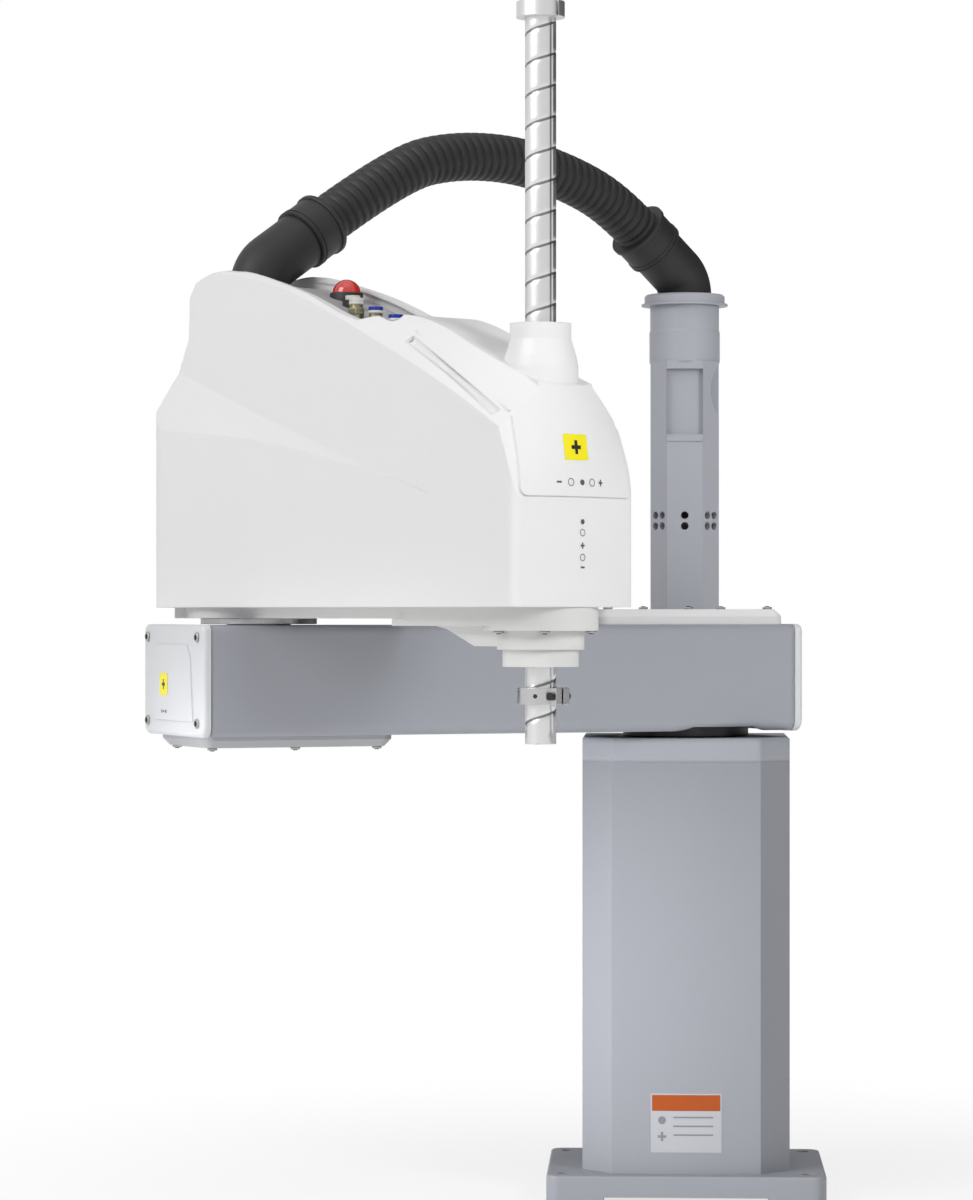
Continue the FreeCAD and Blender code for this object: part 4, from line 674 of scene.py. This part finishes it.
def hose():
    """Corrugated tube: rings extruded one after another along the hose's line."""
    count = HOSE_RIDGES * HOSE_ROWS_PER_RIDGE + 1
    points, length = route_points(count)
    side = HOSE_PLANE.to_3x3() @ Vector((0, 1, 0))
    tube = bmesh.new()
    ring = bmesh.ops.create_circle(tube, cap_ends=False, segments=HOSE_SIDES,
                                   radius=1.0)["verts"]
    edges = list(tube.edges)
    directions = [(points[min(i + 1, count - 1)] - points[max(i - 1, 0)]).normalized()
                  for i in range(count)]
    unit = [vert.co.copy() for vert in ring]
    for index, (point, along) in enumerate(zip(points, directions)):
        phase = (index % HOSE_ROWS_PER_RIDGE) / HOSE_ROWS_PER_RIDGE
        dip = max(0.0, 1.0 - abs(phase - 0.5) / HOSE_GROOVE_SHARE)
        curve = math.sin(dip * math.pi / 2) ** HOSE_GROOVE_POWER
        radius = HOSE_OUTER_R - HOSE_GROOVE_DEPTH * curve
        if index:
            grown = bmesh.ops.extrude_edge_only(tube, edges=edges)["geom"]
            ring = [item for item in grown if isinstance(item, bmesh.types.BMVert)]
            edges = [item for item in grown if isinstance(item, bmesh.types.BMEdge)
                     and all(vert in ring for vert in item.verts)]
        up = along.cross(side)
        for vert, flat in zip(ring, unit):
            vert.co = point + radius * (flat.x * side + flat.y * up)
        if index == 0:
            bmesh.ops.contextual_create(tube, geom=edges)
    bmesh.ops.contextual_create(tube, geom=edges)
    piece = add_piece("corrugated_hose", tube, hose_black, "base",
                      replaces=("hose",), smooth=60)
    return piece, points, length


hose_piece, hose_path, hose_length = hose()
# A blended piece has no parent. This one bends over the first axis alone, so its pillar end
# stands off its collar once that swivels.
hose_piece.parent = None
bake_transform(hose_piece)


# Rings and ribs on the hose's collars

def collar_rings(node, body):
    """Lip and ribs of a hose collar, measured back from its upper end."""
    centre, way, radius = next(end for end in flat_ends(node) if end[1].z > 0)
    rings = bmesh.new()
    lip = [(radius + rise, along) for rise, along in COLLAR_LIP]
    lathe(rings, [(HOSE_OUTER_R, COLLAR_LIP[0][1]), *lip], steps=64)
    for start in COLLAR_RIB_PLACES:
        lathe(rings, [(radius + rise, along - start) for rise, along in COLLAR_RIB], steps=64)
    add_piece(node + "_rings", rings, fitting_black, body,
              place=facing(centre, way))


collar_rings("arm_hose_collar", "arm_elbow")
collar_rings("pillar_hose_collar", "pillar_elbow")


# Air fittings on the deck

def fittings():
    """Threaded body, hexagon, stem and pale ring of each air fitting."""
    tops = [end for end in flat_ends("fitting_bodies") if end[1].z > FACING_UP]
    narrow = min(end[2] for end in tops) + FITTING_TOP_SLACK
    places = [Matrix.Translation(end[0]) for end in tops if end[2] < narrow]
    body = bmesh.new()
    lathe(body, FITTING_THREAD, steps=32)
    nut = bmesh.ops.create_cone(body, cap_ends=True, segments=6, radius1=FITTING_HEXAGON_R,
                                radius2=FITTING_HEXAGON_R, depth=FITTING_HEXAGON_HEIGHT,
                                matrix=Matrix.Translation((0, 0, FITTING_HEXAGON_MIDDLE)))
    edges = list({edge for vert in nut["verts"] for edge in vert.link_edges})
    bmesh.ops.bevel(body, geom=edges, offset=FITTING_HEXAGON_EDGE, segments=2,
                    affect="EDGES")
    lathe(body, FITTING_STEM, steps=32)
    bodies = bmesh.new()
    stamp(bodies, body, places)
    add_piece("fitting_nuts", bodies, brass, "outer_arm",
              replaces=("fitting_bodies",))
    ring = bmesh.new()
    lathe(ring, FITTING_RING, steps=32)
    rings = bmesh.new()
    stamp(rings, ring, places)
    add_piece("fitting_rings", rings, collar_white, "outer_arm")


fittings()


# Status lamp's foot

def lamp_foot():
    """Dark rim round the widest flat end of the lamp."""
    centre, _, radius = max((end for end in flat_ends("status_lamp")
                             if end[1].z > FACING_UP), key=lambda end: end[2])
    foot = bmesh.new()
    lathe(foot, [(radius + rise, along) for rise, along in LAMP_FOOT], steps=64)
    add_piece("lamp_foot", foot, fitting_black, "outer_arm",
              place=Matrix.Translation(centre))


lamp_foot()


# Groove liners beside the housing's front

def groove_liner(name, side):
    """Round bottom of the groove, from end to end of its line."""
    start, end = [Vector((along, side * (HOUSING_HALF - inwards), height))
                  for along, inwards, height in GROOVE_ENDS]
    way = (end - start).normalized()
    outward = Vector((GROOVE_OUTWARD[0], side * GROOVE_OUTWARD[1], GROOVE_OUTWARD[2]))
    outward = (outward - outward.dot(way) * way).normalized()
    turn = Matrix((way, outward.cross(way), outward)).transposed().to_4x4()
    sheet = bmesh.new()
    pair = [sheet.verts.new((x, 0, -GROOVE_R)) for x in (0, (end - start).length)]
    line = sheet.edges.new(pair)
    bmesh.ops.rotate(sheet, verts=pair, cent=(0, 0, 0),
                     matrix=Matrix.Rotation(-GROOVE_HALF_ARC, 3, "X"))
    bmesh.ops.spin(sheet, geom=pair + [line], axis=(1, 0, 0), cent=(0, 0, 0),
                   angle=2 * GROOVE_HALF_ARC, steps=24, use_duplicate=False)
    add_piece(name, sheet, housing_white, "outer_arm",
              place=OUTER_ARM @ Matrix.Translation(start) @ turn, smooth=60)


groove_liner("groove_liner_near", -1)
groove_liner("groove_liner_far", 1)


# Stickers and printed marks: flat shapes laid on a surface

def on_face(arm, place, outward):
    """Frame on an upright face: first axis to its right, second up, third outwards."""
    outward = Vector(outward).normalized()
    up = Vector((0, 0, 1))
    turn = Matrix((up.cross(outward), up, outward)).transposed().to_4x4()
    return arm @ Matrix.Translation(place) @ turn


def lay_on(mesh_maker, node, place, lift):
    """Drops each corner of a flat shape onto a CAD node, a little above its surface."""
    surface = bmesh.new()
    surface.from_mesh(frame["nodes"][node].data)
    tree = BVHTree.FromBMesh(surface)
    surface.free()
    inward = -(place.to_3x3() @ Vector((0, 0, 1))).normalized()
    for vert in mesh_maker.verts:
        hit = tree.ray_cast(place @ vert.co - RAY_START * inward, inward)[0]
        vert.co = hit - lift * inward


def patch(mesh_maker, across, up, width, height):
    """Rectangle cut fine enough to follow a curved surface."""
    bmesh.ops.create_grid(mesh_maker, x_segments=12, y_segments=8, size=0.5,
                          matrix=Matrix.Translation((across, up, 0))
                          @ Matrix.Diagonal((width, height, 1, 1)))


def ring_mark(mesh_maker, across, up, outer, inner):
    """Flat ring between two radii."""
    for radius in (outer, inner):
        bmesh.ops.create_circle(mesh_maker, cap_ends=False, segments=20, radius=radius,
                                matrix=Matrix.Translation((across, up, 0)))
    loops = [edge for edge in mesh_maker.edges if edge.is_wire]
    bmesh.ops.bridge_loops(mesh_maker, edges=loops)


def dot_mark(mesh_maker, across, up, radius):
    """Flat disc."""
    bmesh.ops.create_circle(mesh_maker, cap_ends=True, segments=20, radius=radius,
                            matrix=Matrix.Translation((across, up, 0)))


def plus_mark(mesh_maker, across, up, size):
    """Plus of one bar across and two short ones above and below it."""
    patch(mesh_maker, across, up, size, 0.3 * size)
    patch(mesh_maker, across, up + 0.35 * size, 0.3 * size, 0.4 * size)
    patch(mesh_maker, across, up - 0.35 * size, 0.3 * size, 0.4 * size)


def laid_piece(name, mesh_maker, node, place, finish, body, lift=STICKER_LIFT):
    """Lays a flat shape on a CAD node and makes it a piece."""
    lay_on(mesh_maker, node, place, lift)
    add_piece(name, mesh_maker, finish, body)


def front_marks():
    """Sticker, row and column of plain marks on the housing's front."""
    across, height = FRONT_STICKER
    front = on_face(OUTER_ARM, (FRONT_REACH, 0, 0), (1, 0, 0))
    sticker = bmesh.new()
    patch(sticker, across, height, *FRONT_STICKER_SIZE)
    laid_piece("front_sticker", sticker, "housing_cover", front, sticker_yellow, "outer_arm")
    sign = bmesh.new()
    plus_mark(sign, across, height, FRONT_STICKER_PLUS)
    laid_piece("front_sticker_mark", sign, "housing_cover", front, print_and_socket_shade_black, "outer_arm",
               lift=PRINT_LIFT)
    dark = bmesh.new()
    pale = bmesh.new()
    row = MARK_ROW_PLACES
    patch(dark, row[0], MARK_ROW_HEIGHT, *ROW_DASH)
    ring_mark(pale, row[1], MARK_ROW_HEIGHT, *ROW_RING)
    dot_mark(dark, row[2], MARK_ROW_HEIGHT, ROW_DOT_R)
    ring_mark(pale, row[3], MARK_ROW_HEIGHT, *ROW_RING)
    plus_mark(dark, row[4], MARK_ROW_HEIGHT, ROW_PLUS)
    column = MARK_COLUMN_HEIGHTS
    dot_mark(dark, MARK_COLUMN_ACROSS, column[0], COLUMN_DOT_R)
    ring_mark(pale, MARK_COLUMN_ACROSS, column[1], *COLUMN_RING)
    plus_mark(dark, MARK_COLUMN_ACROSS, column[2], COLUMN_PLUS)
    ring_mark(pale, MARK_COLUMN_ACROSS, column[3], *COLUMN_RING)
    patch(dark, MARK_COLUMN_ACROSS, column[4], *COLUMN_DASH)
    laid_piece("front_marks_dark", dark, "housing_cover", front, print_dark, "outer_arm")
    laid_piece("front_marks_pale", pale, "housing_cover", front, print_grey, "outer_arm")


front_marks()


def column_label():
    """Pale label with an orange band, one dot, one plus and three dashes."""
    face = on_face(BASE, (0, LABEL_FACE_Y, LABEL_MIDDLE), (0, -1, 0))
    sheet = bmesh.new()
    patch(sheet, 0, 0, LABEL_WIDTH, LABEL_HEIGHT)
    laid_piece("column_label", sheet, "base_casting", face, sticker_pale, "base")
    header = bmesh.new()
    patch(header, 0, (LABEL_HEIGHT - LABEL_HEADER_HEIGHT) / 2 - LABEL_HEADER_EDGE,
          LABEL_WIDTH - 2 * LABEL_HEADER_EDGE, LABEL_HEADER_HEIGHT)
    laid_piece("column_label_header", header, "base_casting", face, sticker_orange, "base",
               lift=PRINT_LIFT)
    marks = bmesh.new()
    dot_mark(marks, LABEL_MARKS_ACROSS, *LABEL_DOT)
    for height in LABEL_LINE_HEIGHTS:
        patch(marks, LABEL_LINES_ACROSS, height, *LABEL_LINE_SIZE)
    plus_mark(marks, LABEL_MARKS_ACROSS, *LABEL_PLUS)
    laid_piece("column_label_marks", marks, "base_casting", face, print_grey, "base",
               lift=PRINT_LIFT)


column_label()


def end_cap_marks():
    """Sticker and small marks on the inner arm's outer end cap."""
    reach = max((INNER_ARM.inverted() @ corner).x for corner in node_corners("outer_end_cap"))
    face = on_face(INNER_ARM, (reach, 0, 0), (1, 0, 0))
    sticker = bmesh.new()
    patch(sticker, *CAP_STICKER, *CAP_STICKER_SIZE)
    laid_piece("end_cap_sticker", sticker, "outer_end_cap", face, sticker_yellow, "inner_arm")
    marks = bmesh.new()
    dot_mark(marks, CAP_DOTS[0], CAP_MARK_HEIGHT, CAP_DOT_R)
    patch(marks, CAP_DASH_ACROSS, CAP_MARK_HEIGHT, *CAP_DASH_SIZE)
    dot_mark(marks, CAP_DOTS[1], CAP_MARK_HEIGHT, CAP_DOT_R)
    laid_piece("end_cap_marks", marks, "outer_end_cap", face, print_grey, "inner_arm")
    sign = bmesh.new()
    plus_mark(sign, *CAP_STICKER, CAP_STICKER_PLUS)
    laid_piece("end_cap_sticker_mark", sign, "outer_end_cap", face, print_and_socket_shade_black, "inner_arm",
               lift=PRINT_LIFT)


end_cap_marks()


def set_screw():
    """Dark disc in place of the set screw's socket, on the clamp collar's front side."""
    heights = [corner.z for corner in node_corners("clamp_collar")]
    middle = (SHAFT.x, SHAFT.y, (min(heights) + max(heights)) / 2)
    hole = bmesh.new()
    # The disc is painted shade, standing for the dark hollow of the socket
    dot_mark(hole, 0, 0, SET_SCREW_R)
    laid_piece("clamp_set_screw_socket_shade", hole, "clamp_collar", on_face(BASE, middle, SET_SCREW_WAY),
               print_and_socket_shade_black, "shaft")


set_screw()


# Studio

def stage_material():
    """White for the camera and for reflections, and plain matt for shadows and bounce."""
    item = bpy.data.materials.new("studio_floor")
    item.use_nodes = True
    nodes, links = item.node_tree.nodes, item.node_tree.links
    surface = nodes["Principled BSDF"]
    surface.inputs["Base Color"].default_value = (0.86, 0.86, 0.86, 1)
    surface.inputs["Roughness"].default_value = 1.0
    surface.inputs["Specular IOR Level"].default_value = 0.0
    glow = nodes.new("ShaderNodeEmission")
    glow.inputs["Color"].default_value = (1, 1, 1, 1)
    path = nodes.new("ShaderNodeLightPath")
    seen = nodes.new("ShaderNodeMath")
    seen.operation = "MAXIMUM"
    links.new(path.outputs["Is Camera Ray"], seen.inputs[0])
    links.new(path.outputs["Is Glossy Ray"], seen.inputs[1])
    through = nodes.new("ShaderNodeMath")
    through.operation = "MAXIMUM"
    links.new(seen.outputs[0], through.inputs[0])
    links.new(path.outputs["Is Transmission Ray"], through.inputs[1])
    place = nodes.new("ShaderNodeTexCoord")
    away = nodes.new("ShaderNodeVectorMath")
    away.operation = "LENGTH"
    links.new(place.outputs["Object"], away.inputs[0])
    white = nodes.new("ShaderNodeMapRange")
    white.interpolation_type = "SMOOTHSTEP"
    white.inputs["From Min"].default_value = FLOOR_FADE[0]
    white.inputs["From Max"].default_value = FLOOR_FADE[1]
    white.inputs["To Min"].default_value = FLOOR_WHITE_NEAR
    links.new(away.outputs["Value"], white.inputs["Value"])
    share = nodes.new("ShaderNodeMath")
    share.operation = "MULTIPLY"
    links.new(through.outputs[0], share.inputs[0])
    links.new(white.outputs["Result"], share.inputs[1])
    mix = nodes.new("ShaderNodeMixShader")
    links.new(share.outputs[0], mix.inputs[0])
    links.new(surface.outputs["BSDF"], mix.inputs[1])
    links.new(glow.outputs["Emission"], mix.inputs[2])
    links.new(mix.outputs["Shader"], nodes["Material Output"].inputs["Surface"])
    return item


def floor():
    """Pale floor that shows the object's shadow and fades to the white of the world."""
    surface = bmesh.new()
    bmesh.ops.create_circle(surface, cap_ends=True, segments=96, radius=FLOOR_R)
    mesh = bpy.data.meshes.new("studio_floor")
    surface.to_mesh(mesh)
    surface.free()
    mesh.materials.append(stage_material())
    item = bpy.data.objects.new("studio_floor", mesh)
    bpy.context.scene.collection.objects.link(item)


def world(level, mirrored, dark_way, dark_level):
    """White backdrop and dimmer room. Reflections see the room brighter, with one dark side."""
    item = bpy.data.worlds.new("studio")
    item.use_nodes = True
    nodes, links = item.node_tree.nodes, item.node_tree.links
    room = nodes["Background"]
    room.inputs["Color"].default_value = (1, 1, 1, 1)
    path = nodes.new("ShaderNodeLightPath")
    strength = nodes.new("ShaderNodeMapRange")
    strength.inputs["To Min"].default_value = level
    links.new(path.outputs["Is Glossy Ray"], strength.inputs["Value"])
    links.new(strength.outputs["Result"], room.inputs["Strength"])
    place = nodes.new("ShaderNodeTexCoord")
    towards = nodes.new("ShaderNodeVectorMath")
    towards.operation = "DOT_PRODUCT"
    towards.inputs[1].default_value = dark_way
    links.new(place.outputs["Generated"], towards.inputs[0])
    tone = nodes.new("ShaderNodeMapRange")
    tone.interpolation_type = "SMOOTHSTEP"
    tone.inputs["From Min"].default_value = 0.4
    tone.inputs["From Max"].default_value = 0.75
    tone.inputs["To Min"].default_value = mirrored
    tone.inputs["To Max"].default_value = dark_level
    links.new(towards.outputs["Value"], tone.inputs["Value"])
    links.new(tone.outputs["Result"], strength.inputs["To Max"])
    white = nodes.new("ShaderNodeBackground")
    white.inputs["Color"].default_value = (1, 1, 1, 1)
    white.inputs["Strength"].default_value = 1.0
    mix = nodes.new("ShaderNodeMixShader")
    links.new(path.outputs["Is Camera Ray"], mix.inputs[0])
    links.new(room.outputs[0], mix.inputs[1])
    links.new(white.outputs[0], mix.inputs[2])
    links.new(mix.outputs[0], nodes["World Output"].inputs["Surface"])
    bpy.context.scene.world = item


def softbox(name, place, aim, size, watts, spread=180, mirrored=True):
    """Studio light aimed at a point. A narrow spread is a grid on its front."""
    data = bpy.data.lights.new(name, "AREA")
    data.shape = "RECTANGLE"
    data.size, data.size_y = size
    data.energy = watts
    data.spread = math.radians(spread)
    item = bpy.data.objects.new(name, data)
    item.visible_glossy = mirrored
    item.location = place
    way = Vector(aim) - Vector(place)
    item.rotation_euler = way.to_track_quat("-Z", "Y").to_euler()
    bpy.context.scene.collection.objects.link(item)


floor()
world(level=0.35, mirrored=0.80, dark_way=(0.75, 0.66, 0.0), dark_level=0.06)
softbox("key_left", place=(-1.9, -1.7, 2.0), aim=(-0.1, -0.1, 0.5), size=(1.5, 1.5), watts=35)
softbox("column_left", place=(-0.6, -0.5, 0.17), aim=(0, -0.06, 0.17), size=(0.3, 0.3),
        watts=0.46, spread=42, mirrored=False)
softbox("front_right", place=(0.75, -1.0, 0.85), aim=(0, -0.42, 0.55), size=(0.4, 0.4),
        watts=6.4, mirrored=False)
softbox("top", place=(-0.2, -0.9, 2.6), aim=(-0.1, -0.1, 0.5), size=(1.6, 1.4), watts=4)
softbox("back", place=(1.4, 2.6, 1.8), aim=(0, 0, 0.4), size=(1.6, 1.6), watts=18,
        mirrored=False)

bpy.context.scene.view_settings.view_transform = "Standard"
